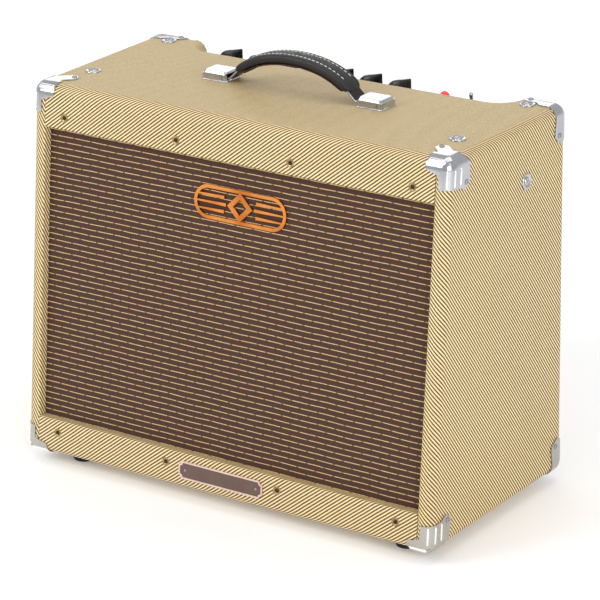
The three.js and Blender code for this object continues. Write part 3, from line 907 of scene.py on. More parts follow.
def screw_set(name, spots, radius, height, finish, cup=0.0, cup_name="", cup_finish=None):
    """Screws as one piece, and their cup washers as another. A spot is (place, normal, twist)."""
    screws = [screw_head(radius, height, place, normal, twist, cup) for place, normal, twist in spots]
    dress(joined(name, [parts[0] for parts in screws]), finish)
    if cup:
        dress(joined(cup_name, [parts[1] for parts in screws]), cup_finish)


FRONT_NORMAL = Vector((0, -math.cos(LEAN_ANGLE), math.sin(LEAN_ANGLE)))


def cabinet_screws():
    """Cup-washered screws that hold the rails, the top and the sides."""
    spots = []
    for height, turn in ((404.5 * MM, 0.3), (29.8 * MM, 1.1)):
        z = BASE + height
        for k, x in enumerate((-234.4, -77.1, 77.1, 234.4)):
            spots.append(((x * MM, front_y(z), z), FRONT_NORMAL, turn + k))
    screw_set("rail_screws", spots, 2.5 * MM, 1.0 * MM, dark_steel, 5.0 * MM, "rail_cup_washers", bronze)
    places = []
    for side in (-1, 1):
        for y in (-32 * MM, 115 * MM):
            places.append(((side * 246.5 * MM, y, TOP), (0, 0, 1)))
        places.append(((side * HALF_WIDTH, 56.7 * MM, BASE + 373.4 * MM), (side, 0, 0)))
    spots = [(place, normal, k * 0.7) for k, (place, normal) in enumerate(places)]
    screw_set("cabinet_screws", spots, 4.6 * MM, 2.4 * MM, chrome, 9.4 * MM, "cabinet_cup_washers", chrome)


cabinet_screws()

# ------------------------------------------------------------------ corner protectors

SHEET = 1.2 * MM
LIFT = 0.3 * MM
SKIN = LIFT + SHEET  # from the cloth to the outside of the metal
OVERSHOOT = -5  # the cutting outlines start this far outside the cabinet, in millimetres
WRAP = 15  # and end this far inside it

# Each shape is cut out of the cabinet's skin by three outlines, given as corners and their radii in
# millimetres: flat on the top or bottom, face on the front or rear, and side on the end. The screws
# are places on the flat and on the side.
FRONT_TYPE = {
    "flat": ([(-3, -3), (30, -3), (30, 11), (23, 14), (41, 32), (30, 43), (12, 26), (-3, 27)],
             [0, 0, 3, 5, 7, 7, 5, 0]),
    "face": ([(-3, -3), (30, -3), (30, 13), (11.5, 18), (11.5, 33), (-3, 33)], [0, 0, 3, 5, 3, 0]),
    "side": ([(-3, -3), (27, -3), (37, 9), (40, 33), (28, 39), (20, 34), (-3, 33)],
             [0, 0, 6, 6, 5, 5, 0]),
    "screws": {"flat": (32.5, 34.5), "side": (32.5, 31)},
}
REAR_TYPE = {
    "flat": ([(-3, -3), (34, -3), (48, 5), (44, 20), (28, 20), (20, 27), (-3, 27)], [0, 3, 6, 6, 5, 3, 0]),
    "face": ([(-3, -3), (34, -3), (34, 12), (19, 14), (19, 32), (-3, 32)], [0, 0, 3, 7, 4, 0]),
    "side": ([(-3, -3), (27, -3), (25, 13), (28, 34), (15, 43), (-3, 35)], [0, 0, 7, 6, 6, 0]),
    "screws": {"flat": (39, 12.5), "side": (18, 33)},
}


def cabinet_end(grow):
    """The right end of the cabinet's rounded body as a closed solid, grown outwards."""
    rows = [(HALF_WIDTH - 80 * MM, -grow)] + outer_edge(grow, 10)
    verts = [(x, y, z) for x, inset in rows for y, z in side_outline(inset)]
    return lofted("cabinet_end", verts, len(side_outline(0)))


def vertical_rib(x, inset, sz):
    """A pressed rib up the rounded vertical edge."""
    low = BASE + (408 if sz > 0 else 11) * MM
    length, rib = 21 * MM, 1.3 * MM
    steps, sides = 12, 10
    verts = []
    for k in range(steps + 1):
        share = k / steps
        z = low + length * share
        y = front_y(z) + inset / math.cos(LEAN_ANGLE)
        reach = rib * math.sqrt(max(0.0, 1 - (2 * share - 1) ** 8))
        verts += [(x + reach * cos, y + reach * sin, z) for cos, sin in circle(sides)]
    return lofted("rib", verts, sides)


def capsule_x(x0, x1, line, radius):
    """A round bar along X with domed ends, centred on (y, z)."""
    steps, bulge = 6, radius * 0.6
    quarter = [math.pi / 2 * k / steps for k in range(steps + 1)]
    profile = [(radius * math.sin(angle), x0 - bulge * math.cos(angle)) for angle in quarter]
    profile += [(radius * math.sin(angle), x1 + bulge * math.cos(angle)) for angle in reversed(quarter)]
    return lathe("bead", profile, (0, line[0], line[1]), 20, "X")


def corner_ribs(sz):
    """The pressed ribs of a front corner: three up its side and one bar along its edge."""
    bend = EDGE + SKIN
    spots = [(HALF_WIDTH + SKIN, 20 * MM)]
    for angle in (math.radians(35), math.radians(78)):
        spots.append((HALF_WIDTH - EDGE + bend * math.sin(angle), EDGE - bend * math.cos(angle)))
    ribs = [vertical_rib(x, inset, sz) for x, inset in spots]
    z = (TOP if sz > 0 else BASE) - sz * CORNER
    y = front_y(z) + CORNER / math.cos(LEAN_ANGLE)
    sunk = CORNER + SKIN - 2.2 * MM
    line = (y - sunk * math.cos(math.radians(45)), z + sz * sunk * math.sin(math.radians(45)))
    return ribs + [capsule_x(253 * MM, 271 * MM, line, 3.6 * MM)]


def protector(sx, sy, sz):
    """One pressed metal corner; built on the right end and mirrored for the left."""
    shape = FRONT_TYPE if sy < 0 else REAR_TYPE
    edge_z = TOP if sz > 0 else BASE

    def at(u, w, h):
        """A point inward from the side (u), from front or rear (w) and from top or bottom (h)."""
        z = edge_z - sz * h * MM
        y = front_y(z) + w * MM if sy < 0 else BACK - w * MM
        return HALF_WIDTH - u * MM, y, z

    def cutter(key, to_world, depth):
        corners, radii = shape[key]
        return prism(key, rounded_outline(corners, radii, 6), to_world, OVERSHOOT, depth)

    flat = cutter("flat", lambda u, w, h: (*at(u, w, 0)[:2], at(u, w, h)[2]), 6)
    face = cutter("face", lambda u, h, w: at(u, w, h), WRAP)
    side = cutter("side", lambda w, h, u: at(u, w, h), WRAP - 2)
    zone = combined(combined(flat, face, "UNION"), side, "UNION")
    shell = combined(cabinet_end(SKIN), cabinet_end(LIFT), "DIFFERENCE")
    rivet = mm([(0, -1), (1.7, -1), (1.7, 0.3), (1.0, 0.9), (0, 1.0)])
    rivet_place = at(4, 5, 5) if sy < 0 else at(5, 6, 5)
    parts = [crisp(combined(shell, zone, "INTERSECT")), lathe("rivet", rivet, rivet_place, 16)]
    u, w = shape["screws"]["flat"]
    place = Vector(at(u, w, 0))
    tilt = 0.0
    if sy > 0 and w * MM < CORNER:
        around = math.acos(1 - w * MM / CORNER)
        place.z -= sz * CORNER * (1 - math.sin(around))
        tilt = math.pi / 2 - around
    normal = Vector((0, math.sin(tilt) * sy, sz * math.cos(tilt)))
    screws = screw_head(3.1 * MM, 1.6 * MM, place + normal * SKIN, normal, 0.4)
    w, h = shape["screws"]["side"]
    place = Vector(at(0, w, h)) + Vector((SKIN, 0, 0))
    screws += screw_head(3.1 * MM, 1.6 * MM, place, (1, 0, 0), 1.0)
    level = "top" if sz > 0 else "bottom"
    end = "front" if sy < 0 else "rear"
    hand = "left" if sx < 0 else "right"
    name = f"corner_{level}_{end}_{hand}"
    pieces = [joined(name + "_metal", parts), joined(name + "_screws", screws)]
    if sy < 0:
        pieces.append(joined(name + "_ribs", corner_ribs(sz)))
    for piece in pieces:
        if sx < 0:
            piece.data.transform(Matrix.Scale(-1, 4, (1, 0, 0)))
            piece.data.flip_normals()
    # the bottom corners get a darker copy of the top corners' chrome: painted shade
    dress(pieces[0], chrome if sz > 0 else nickel, replaces=[name])
    dress(pieces[1], steel)
    # the ribs and bar get the brighter white metal: painted highlight on the same chrome
    for piece in pieces[2:]:
        dress(piece, polished)


for sz in (1, -1):
    for sy in (-1, 1):
        for sx in (-1, 1):
            protector(sx, sy, sz)

# ------------------------------------------------------------------ handle

HANDLE_Y = 24 * MM
STRAP_HALF = 78 * MM
CAP_X = 105 * MM
CAP_FLOOR = TOP + 0.3 * MM
ARCH_HALF = 86 * MM
ARCH_RISE = 34 * MM
STRAP_LEVEL = TOP + 5.35 * MM  # the middle of the strap where it lies in its caps
STITCH_ROW = 7.2 * MM  # from the middle of the strap to each row of stitches
CHANNEL = 0.7 * MM  # depth of the channels that the stitches lie in


def arch(x):
    """Height of the middle of the strap at a distance from its centre."""
    u = min(1.0, abs(x) / ARCH_HALF)
    return STRAP_LEVEL + ARCH_RISE * (1 - u * u) * (1 + 0.35 * u * u)


def along_arch(x, across, up):
    """A point beside the strap's middle line: across the cabinet's depth and up from the strap."""
    slope = (arch(x + MM) - arch(x - MM)) / (2 * MM)
    length = math.hypot(1, slope)
    return Vector((x - up * slope / length, HANDLE_Y + across, arch(x) + up / length))


def strap_section(width, thickness, channels):
    """(across, up) points round a strap, which may have a channel on each side of its crown."""
    points = []
    for cos, sin in circle(56):
        across = width / 2 * math.copysign(abs(cos) ** 0.42, cos)
        up = thickness / 2 * math.copysign(abs(sin) ** 0.62, sin)
        if channels and sin > 0:
            up -= CHANNEL * math.exp(-((abs(across) - STITCH_ROW) / (1.1 * MM)) ** 2)
        points.append((across, up))
    return points


def strap_band(name, half, width, thickness, drop, end, channels=False):
    """A band bent over the arch; end is the length over which it narrows to a rounded end."""
    section = strap_section(width, thickness, channels)
    steps = 90
    verts = []
    for k in range(steps + 1):
        x = -half * math.cos(math.pi * k / steps)
        near = max(0.0, 1 - (half - abs(x)) / end)
        narrow = math.sqrt(max(0.06, 1 - near ** 2.6))
        for across, up in section:
            verts.append(along_arch(x, across * (0.45 + 0.55 * narrow), up * narrow - drop))
    return lofted(name, verts, len(section))


def swept(name, path, radius, closed, sides=12):
    """A round wire along a path of points."""
    verts = []
    count = len(path)
    for i, point in enumerate(path):
        before = path[i - 1] if closed or i > 0 else point
        after = path[(i + 1) % count] if closed or i < count - 1 else point
        along = (after - before).normalized()
        side = along.cross(Vector((0.13, 0.21, 0.97))).normalized()
        up = side.cross(along)
        verts += [point + side * radius * cos + up * radius * sin for cos, sin in circle(sides)]
    rows = count + 1 if closed else count
    if closed:
        verts += verts[:sides]
    faces = strips(rows, sides, True)
    if not closed:
        faces.append(tuple(range(sides)))
        faces.append(tuple(range((count - 1) * sides, count * sides)))
    return outward(mesh_object(name, verts, faces), 0.01 * MM)


def handle_loop(side):
    """The chrome ring that joins the end of the strap to its cap."""
    inner, bend, outer, half = 73 * MM, 85 * MM, 93 * MM, 11 * MM
    corners = [(inner, -half), (bend, -half), (outer, -half), (outer, half), (bend, half), (inner, half)]
    outline = rounded_outline(corners, [3 * MM, 0, 3 * MM, 3 * MM, 0, 3 * MM], 5)
    high, low = arch(inner) - 1 * MM, CAP_FLOOR + 4.4 * MM
    path = []
    for x, across in outline:
        z = low + (high - low) * max(0.0, (bend - x) / (bend - inner))
        path.append(Vector((side * x, HANDLE_Y + across, z)))
    return swept("loop", path, 1.15 * MM, True)


def handle_stitches():
    """Two rows of short white stitches lying in the strap's channels."""
    parts = []
    count, pitch, stitch, crown = 25, 5.3 * MM, 3.1 * MM, 5.0 * MM
    for row in (-1, 1):
        for k in range(count):
            x = (k - (count - 1) / 2) * pitch
            path = []
            for share in (-0.5, -0.42, -0.2, 0.2, 0.42, 0.5):
                sink = 0.9 * MM if abs(share) > 0.45 else 0.0
                path.append(along_arch(x + share * stitch, row * STITCH_ROW, crown - sink))
            parts.append(swept("stitch", path, 0.42 * MM, False, 6))
    return joined("handle_stitches", parts)


def handle_cap(name, side):
    """A chromed cap: a fluted skirt, a step, a bevelled flat top and a mouth for the strap."""
    half_x, half_y = 18, 15
    base = rounded_outline(rectangle(0, 0, half_x, half_y), [4] * 4, 14)
    outline = []
    for a, b in zip(base, base[1:] + base[:1]):
        pieces = max(1, round((b - a).length / 0.5))
        outline += [a + (b - a) * (k / pieces) for k in range(pieces)]
    travel, flutes = 0.0, []
    for a, b in zip(outline, outline[1:] + outline[:1]):
        flutes.append(0.9 * abs(math.sin(math.pi * travel / 2.4)))
        travel += (b - a).length
    skirt = [(0.0, 0.0, 0), (0.2, 1.0, 1), (0.3, 6.2, 1), (0.5, 7.3, 0)]
    crown = [(1.5, 7.6, 0), (1.7, 8.3, 0), (2.9, 10.4, 0), (3.5, 10.7, 0), (4.1, 10.7, 0)]
    verts = []
    for inset, height, fluted in skirt + crown:
        for point, flute in zip(outline, flutes):
            step = inset + fluted * flute
            x, y = point.x * (1 - step / half_x), point.y * (1 - step / half_y)
            verts.append((side * CAP_X + x * MM, HANDLE_Y + y * MM, CAP_FLOOR + height * MM))
    cap = lofted("cap", verts, len(outline))
    mouth = sorted((side * (CAP_X - 24 * MM), side * (CAP_X + 13 * MM)))
    cutter = block("mouth", (mouth[0], HANDLE_Y - 12.5 * MM, CAP_FLOOR + 1.7 * MM),
                   (mouth[1], HANDLE_Y + 12.5 * MM, CAP_FLOOR + 8.6 * MM))
    cap = crisp(combined(cap, outward(cutter), "DIFFERENCE"), 50)
    cap.name = name + "_chrome"
    dress(cap, chrome, replaces=[name])


def handle():
    """The padded strap on its two sprung layers, its stitching, rings and caps."""
    pad = strap_band("handle_pad", STRAP_HALF, 29 * MM, 10.5 * MM, 0, 12 * MM, channels=True)
    dress(pad, leather, "handle", replaces=["handle_strap"])
    under = strap_band("handle_under_strap", 72 * MM, 25 * MM, 2.2 * MM, 6.6 * MM, 6 * MM)
    dress(under, raw_leather, "handle", replaces=["handle_strap"])
    core = strap_band("handle_core", 112 * MM, 21 * MM, 2.2 * MM, 0.4 * MM, 4 * MM)
    dress(core, dark_steel, "handle", replaces=["handle_strap"])
    dress(handle_stitches(), thread_white, "handle")
    dress(joined("handle_loops", [handle_loop(-1), handle_loop(1)]), chrome, "handle")
    handle_cap("handle_cap_left", -1)
    handle_cap("handle_cap_right", 1)


handle()

# ------------------------------------------------------------------ controls

PANEL_Y = 130 * MM
KNOB_XS = [(-172 + 39.3 * k) * MM for k in range(7)]
KNOB_REST = math.radians(50)
DIAL_TRAVEL = math.radians(280)


def pointer(place):
    """A pointer knob: ringed skirt, tapered bar with a high nose and a sloping heel."""
    skirt = lathe("skirt", mm([
        (0, 0), (9.3, 0), (9.6, 0.4), (9.6, 1.8), (9.2, 2.4), (8.7, 2.6), (8.7, 3.6), (8.3, 4.0), (8.1, 5.2),
        (8.5, 5.7), (8.2, 6.3), (7.9, 8.6), (8.2, 9.1), (7.8, 9.8), (6.6, 11.6), (4.0, 12.5), (0, 12.7),
    ]), (0, 0, 0), 40)
    foot_height = 2.4
    # along the bar, its top, and half its width at the crown and at the foot
    rows = [
        (-10.6, 8.6, 0.5, 1.6), (-10.2, 10.4, 0.9, 2.6), (-8.6, 12.9, 1.3, 3.5), (-6.2, 15.1, 1.6, 4.4),
        (-3.6, 16.5, 1.8, 5.0), (-1.0, 17.0, 1.9, 5.3), (3.0, 17.2, 1.8, 5.0), (8.0, 17.3, 1.6, 4.0),
        (13.0, 17.4, 1.35, 2.9), (16.8, 17.4, 1.15, 2.1), (17.7, 17.2, 1.0, 1.8), (18.0, 16.7, 0.7, 1.5),
    ]
    verts = []
    for x, top, crown, foot in rows:
        side = [(foot, foot_height), (foot * 0.96 + crown * 0.04, foot_height + 1.2)]
        for share in (0.3, 0.55, 0.78, 0.93):
            wide = crown + (foot - crown) * (1 - share) ** 0.8
            side.append((wide, foot_height + (top - foot_height) * share))
        side += [(crown, top - 0.35), (crown - 0.3, top)]
        verts += [Vector((x, y, z)) * MM for y, z in side + [(-y, z) for y, z in reversed(side)]]
    bar = crisp(lofted("bar", verts, len(verts) // len(rows)), 50)
    line = prism("line", mm([(4.4, -0.5), (17.2, -0.42), (17.2, 0.42), (4.4, 0.5)]),
                 standing_at((0, 0, 0)), 16.9 * MM, 17.5 * MM)
    end = mm([(0, -8.9), (1.3, -8.9), (1.3, -8.0), (0, -8.0)])
    screw = lathe("set_screw", end, (0, 0, 1.2 * MM), 16, "X")
    turn = Matrix.Translation(place) @ Matrix.Rotation(KNOB_REST, 4, "Z")
    for part in (skirt, bar, line, screw):
        part.data.transform(turn)
    return joined("knob", [skirt, bar]), line, screw


def knobs():
    """The seven pointer knobs with their white lines and set screws."""
    for k, x in enumerate(KNOB_XS):
        node = f"knob_{k + 1}"
        body, line, screw = pointer((x, PANEL_Y, BASE + 418.8 * MM))
        body.name, line.name, screw.name = node + "_body", node + "_line", node + "_set_screw"
        dress(crisp(body, 50), knob_black, node, replaces=[node])
        dress(line, indicator_white, node)
        dress(screw, bronze, node)


def hexagon(name, place, flats, low, high, bore=0.0):
    """A bevelled hexagonal nut standing on the panel, with a bore when it is given."""
    points = []
    for k in range(6):
        angle = math.radians(60 * k + 12)
        points.append((flats * math.cos(angle), flats * math.sin(angle)))
    nut = prism(name, points, standing_at(place), low, high)
    crown = lathe("crown", [(0, low - MM), (flats * 1.02, low - MM), (flats * 1.02, high - 0.5 * MM),
                            (flats * 0.86, high), (0, high)], place, 36)
    nut = combined(nut, crown, "INTERSECT")
    if bore:
        hole = lathe("bore", [(0, low - MM), (bore, low - MM), (bore, high + MM), (0, high + MM)], place, 28)
        nut = combined(nut, hole, "DIFFERENCE")
    nut.name = name
    return crisp(nut)


def dial_dots(floor):
    """Eleven dots round each knob, from its low stop to its high one; the ends and middle are larger."""
    radius = 10.7 * MM
    dots = []
    for x in KNOB_XS:
        for k in range(11):
            angle = KNOB_REST - DIAL_TRAVEL * k / 10
            size = 0.75 * MM if k in (0, 5, 10) else 0.5 * MM
            place = (x + radius * math.cos(angle), PANEL_Y + radius * math.sin(angle), floor)
            profile = [(0, 0), (size, 0), (size * 0.8, 0.12 * MM), (0, 0.14 * MM)]
            dots.append(lathe("dot", profile, place, 12))
    dress(joined("dial_dots", dots), black_paint)


def lamp(place):
    """The pilot lamp's turned bezel and its ten-sided jewel, cut in staggered facets."""
    ring = [(6.7, 0.3), (6.7, 0.0), (9.2, 0.0), (9.2, 1.6), (8.6, 2.0), (8.6, 4.4), (8.9, 4.8), (8.9, 6.2),
            (8.2, 7.6), (7.4, 8.5), (6.9, 8.2), (6.7, 7.4)]
    bezel = turned_ring("lamp_bezel_ring", ring, standing_at(place), 48)
    dress(crisp(bezel, 50), chrome, replaces=["lamp_bezel"])
    verts = [Vector((0, 0, 0))]
    levels = [(6.4, 0.0), (6.4, 9.0), (5.6, 11.2), (3.9, 13.3), (1.9, 14.7)]
    sides = 10
    for level, (radius, height) in enumerate(levels):
        for cos, sin in circle(sides, 0.5 * (level % 2)):
            verts.append(Vector((radius * cos, radius * sin, height)) * MM)
    verts.append(Vector((0, 0, 15.3)) * MM)
    faces = []
    for level in range(len(levels) - 1):
        low, high = 1 + level * sides, 1 + (level + 1) * sides
        for k in range(sides):
            after = (k + 1) % sides
            a, b, c, d = low + k, low + after, high + after, high + k
            faces += [(a, b, d), (b, c, d)] if level % 2 == 0 else [(a, c, d), (a, b, c)]
    last = 1 + (len(levels) - 1) * sides
    for k in range(sides):
        after = (k + 1) % sides
        faces.append((0, 1 + after, 1 + k))
        faces.append((last + k, last + after, last + sides))
    lens = outward(mesh_object("lamp_lens", verts, faces))
    lens.data.transform(Matrix.Translation(place))
    for polygon in lens.data.polygons:
        polygon.use_smooth = False
    dress(lens, jewel, replaces=["lamp_jewel"])


def toggle(x, floor):
    """The toggle's nut and threaded sleeve, and its bat at one end of its throw."""
    place = (x, PANEL_Y, floor + 0.3 * MM)
    sleeve = [(3.3, 2.4), (5.2, 2.4), (5.2, 2.9), (4.9, 3.1), (5.2, 3.4), (4.9, 3.7), (5.2, 4.0), (4.9, 4.3),
              (5.2, 4.6), (4.9, 5.4), (4.3, 6.0), (3.6, 6.0), (3.3, 5.6)]
    parts = [hexagon("toggle_nut", place, 6.7 * MM, 0.0, 2.4 * MM, 3.3 * MM),
             turned_ring("sleeve", sleeve, standing_at(place), 36)]
    dress(crisp(joined("toggle_collar", parts), 50), chrome, replaces=["toggle_bushing"])
    bat = lathe("toggle_bat", mm([
        (0, -1.6), (1.6, -1.5), (1.45, 1.0), (1.5, 4.0), (1.75, 8.0), (2.2, 12.0), (2.5, 14.6), (2.4, 16.2),
        (1.7, 17.1), (0.8, 17.4), (0, 17.4),
    ]), (0, 0, 0), 28)
    pivot = Matrix.Translation((x, PANEL_Y, floor + 3 * MM))
    bat.data.transform(pivot @ Matrix.Rotation(math.radians(12), 4, "X"))
    dress(bat, chrome, "toggle", replaces=["toggle_lever"])


def push_buttons(floor):
    """Two black push buttons with dished tops, each in a chromed collar."""
    ring = [(3.7, 0.0), (5.6, 0.0), (5.6, 0.8), (5.1, 1.5), (4.1, 1.5), (3.7, 1.2)]
    dome = mm([(0, -5.6), (4.3, -5.6), (4.3, -2.4), (3.35, -2.3), (3.35, 5.4), (3.0, 6.1), (2.4, 6.3),
               (1.2, 6.1), (0, 6.0)])
    collars = []
    for k, x in enumerate((92 * MM, 106 * MM)):
        place = (x, PANEL_Y, floor)
        node = f"push_button_{k + 1}"
        collars.append(turned_ring("collar", ring, standing_at(place), 32))
        cap = lathe(node + "_cap", dome, place, 32)
        dress(crisp(cap, 50), knob_black, node, replaces=[node])
    dress(crisp(joined("button_collars", collars), 50), chrome)


def jack_nuts(floor):
    """A washer and a hexagonal nut round each input socket."""
    washer = [(4.9, 0.0), (8.4, 0.0), (8.4, 0.5), (8.0, 0.7), (4.9, 0.7)]
    nuts = []
    for x in (192 * MM, 211 * MM):
        place = (x, PANEL_Y, floor + 0.35 * MM)
        nuts.append(turned_ring("washer", washer, standing_at(place), 36))
        nuts.append(hexagon("jack_nut", place, 7.3 * MM, 0.7 * MM, 3.4 * MM, 4.75 * MM))
    dress(crisp(joined("input_jack_nuts", nuts), 50), chrome)


PANEL_FLOOR = BASE + 418 * MM
knobs()
dial_dots(PANEL_FLOOR)
lamp((129 * MM, PANEL_Y, PANEL_FLOOR + 0.3 * MM))
toggle(166 * MM, PANEL_FLOOR)
push_buttons(PANEL_FLOOR)
jack_nuts(PANEL_FLOOR)

# ------------------------------------------------------------------ front ornament and plate


def on_slope(a, b, h):
    """A point of the leaning front: across, up the slope, and depth behind it, in millimetres."""
    y, z = on_front(h * MM, b * MM)
    return Vector((a * MM, y, z))


def pill(x, slope, half, rise):
    """A long outline with round ends."""
    return rounded_outline(rectangle(x, slope, half, rise), [rise * 0.98] * 4, 12)


def diamond(x, slope, reach):
    """A square standing on its corner."""
    return [(x - reach, slope), (x, slope - reach), (x + reach, slope), (x, slope + reach)]


def ornament():
    """A plain ring with a lozenge and three tapered bars on each side of it, in copper."""
    x, slope = 7, 342
    low, high = 8.2, 10.7
    ring = prism("ornament", pill(x, slope, 62, 19.5), on_slope, low, high)
    inner = prism("inner", pill(x, slope, 58.2, 15.7), on_slope, low - 2, high + 2)
    ring = combined(ring, inner, "DIFFERENCE")
    for side in (-1, 1):
        for step in (-1, 0, 1):
            root, tip = 19 + abs(step) * 2.5, 59 - abs(step) * 3
            middle = slope + step * 8.2
            outline = [(x + side * root, middle - 1.9), (x + side * tip, middle - 0.9),
                       (x + side * tip, middle + 0.9), (x + side * root, middle + 1.9)]
            ring = combined(ring, prism("bar", outline, on_slope, low + 0.2, high), "UNION")
    ring = combined(ring, prism("lozenge", diamond(x, slope, 17), on_slope, low - 0.2, high), "UNION")
    ring = combined(ring, prism("hole", diamond(x, slope, 9), on_slope, low - 3, high + 3), "DIFFERENCE")
    ring.name = "ornament"
    dress(bevel(ring, 0.6 * MM, 2), copper, replaces=["badge"])


def notched(middle, half, rise, notch):
    """A plate outline whose four corners are scooped out, round the middle of the lower rail."""
    points = []
    for sx, sy, start in ((1, 1, 270), (-1, 1, 0), (-1, -1, 90), (1, -1, 180)):
        for k in range(9):
            angle = math.radians(start - 90 * k / 8)
            points.append((sx * half + notch * math.cos(angle), middle + sy * rise + notch * math.sin(angle)))
    return points


def front_plate():
    """The plate on the lower rail: a raised pale border round a plain grey-brown field."""
    middle = 25.5
    back, face, rim = -0.3, -1.15, -1.6
    field = prism("plate_field", notched(middle, 56.5, 9.2, 3.6), on_slope, face, back)
    dress(bevel(field, 0.15 * MM, 2), plate_grey, replaces=["name_plate"])
    border = prism("border", notched(middle, 58, 10.5, 4.2), on_slope, rim, back)
    inside = prism("inside", notched(middle, 56, 8.5, 3.8), on_slope, rim - 1.4, 1)
    border = combined(border, inside, "DIFFERENCE")
    border.name = "plate_border"
    dress(bevel(border, 0.25 * MM, 2), plate_border)
    spots = [(on_slope(side * 49, middle, face), FRONT_NORMAL, 0.5) for side in (-1, 1)]
    screw_set("plate_pins", spots, 1.5 * MM, 0.8 * MM, steel)


ornament()
front_plate()

# ------------------------------------------------------------------ feet


def feet():
    """Rubber feet, each held by a screw and washer in its hollow."""
    rubber_profile = mm([
        (0, 6), (6.4, 6), (6.7, 0.7), (7.3, 0), (12.0, 0), (12.8, 0.4), (13.2, 1.4), (13.9, 6), (14.8, 11.4),
        (15.0, 12.8), (14.5, 13.7), (0, 13.7),
    ])
    washer_profile = mm([(0, 4.9), (5.8, 4.9), (6.1, 5.3), (6.1, 6.0), (0, 6.0)])
    for row, y in (("front", -103 * MM), ("rear", 103 * MM)):
        for side, x in (("left", -226 * MM), ("right", 226 * MM)):
            node = f"foot_{row}_{side}"
            foot = lathe(node + "_rubber", rubber_profile, (x, y, 0), 48)
            dress(crisp(foot, 50), rubber, replaces=[node])
            washer = lathe("washer", washer_profile, (x, y, 0), 32)
            head = screw_head(3.4 * MM, 1.9 * MM, (x, y, 4.9 * MM), (0, 0, -1), 0.6)
            dress(joined(node + "_screw", [washer] + head), steel)


feet()

# ------------------------------------------------------------------ back and inside

BACK_HALF = SEAM - 0.3 * MM
BACKWARDS = (0, 1, 0)
SEAT = 33.6  # the back of the baffle board, in millimetres behind the leaning front


def in_cabinet(x, y, height):
    """A point given in the cabinet's own millimetres, above its base."""
    return x * MM, y * MM, BASE + height * MM


def cabinet_block(name, low, high, width=0.0):
    """A block between two such points."""
    return outward(block(name, in_cabinet(*low), in_cabinet(*high), width))


def lower_back():
    """The tweed-covered lower back board and the screws that hold it."""
    y0, y1 = 126 * MM, 138 * MM
    z0, z1 = BASE + 18.3 * MM, BASE + 165 * MM
    extruded_board("tweed_lower_back", [(y0, z0), (y1, z0), (y1, z1), (y0, z1)],
                   [0, 3 * MM, 4 * MM, 4 * MM], "back_panel_lower", (1, y1 + 0.21), BACK_HALF)
    spots = []
    for side in (-1, 1):
        for k, height in enumerate((34, 92, 150)):
            spots.append((in_cabinet(side * 231, 138, height), BACKWARDS, 0.9 * k + side))
    screw_set("lower_back_screws", spots, 3.4 * MM, 1.7 * MM, dark_steel, 7 * MM, "lower_back_cups", nickel)


def guard():
    """The pressed steel tube guard with rounded vents and folded lips."""
    half, front, sheet, fold = 241.7, 126, 1.6, 136
    bottom, top = 262, 357
    plate = cabinet_block("plate", (-half, front, bottom), (half, front + sheet, top))
    for low, high in ((top - sheet, top), (bottom, bottom + sheet)):
        lip = cabinet_block("lip", (-half, front, low), (half, fold, high))
        plate = combined(plate, lip, "UNION")
    cutters = []
    for column in range(12):
        for height in (288, 331):
            outline = rounded_outline(rectangle((column - 5.5) * 40, height, 14, 12), [6] * 4, 6)
            cutters.append(prism("vent", outline, lambda x, z, y: Vector(in_cabinet(x, y, z)), 120, 130))
    plate = combined(plate, joined("vents", cutters), "DIFFERENCE")
    plate.name = "tube_guard_plate"
    dress(crisp(bevel(plate, 0.3 * MM, 2)), black_paint, replaces=["tube_guard"])
    spots = []
    for side in (-1, 1):
        for height in (276, 345):
            spots.append((in_cabinet(side * 236, front + sheet, height), BACKWARDS, 0.4))
    screw_set("tube_guard_screws", spots, 3.4 * MM, 1.8 * MM, steel)


def cleats():
    """The wooden battens behind the baffle and inside the back."""
    for side, name in ((-1, "left"), (1, "right")):
        low, high = sorted((side * 224, side * 241.9))
        rear = cabinet_block(f"rear_batten_{name}", (low, 108, 24), (high, 125.7, 350), 1.2 * MM)
        dress(rear, plywood)
        corners = [(low, 60), (high, 60), (high, 340), (low, 340)]
        front = prism(f"front_batten_{name}", corners, on_slope, SEAT, SEAT + 16)
        dress(bevel(front, 1.2 * MM), plywood)


def on_axis(x, y, h):
    """A point of the speaker's own frame, whose axis runs back from the leaning front."""
    back, up = on_front(h, 222 * MM + y)
    return Vector((x, back, up))


def speaker_frame():
    """The basket: a rim on the baffle and a bell with six windows between its arms."""
    s = SEAT
    bell = [(141, s), (152, s), (152, s + 2.0), (151.4, s + 2.4), (143.6, s + 2.4), (142.6, s + 5),
            (140.6, s + 16), (104, s + 41), (68, s + 64), (34, s + 64), (34, s + 61.6), (66.5, s + 61.6),
            (102, s + 39), (138, s + 14.8)]
    window = rounded_outline([(78, -18), (131, -34), (131, 34), (78, 18)], [7] * 4, 6)
    cutters = []
    for cos, sin in circle(6, 0.5):
        outline = [(a * cos - b * sin, a * sin + b * cos) for a, b in window]
        cutters.append(prism("window", mm(outline), on_axis, (s + 10) * MM, (s + 80) * MM))
    basket = turned_ring("basket", bell, on_axis, 96)
    basket = combined(basket, joined("windows", cutters), "DIFFERENCE")
    basket.name = "speaker_frame"
    dress(crisp(basket), steel, replaces=["speaker_basket"])


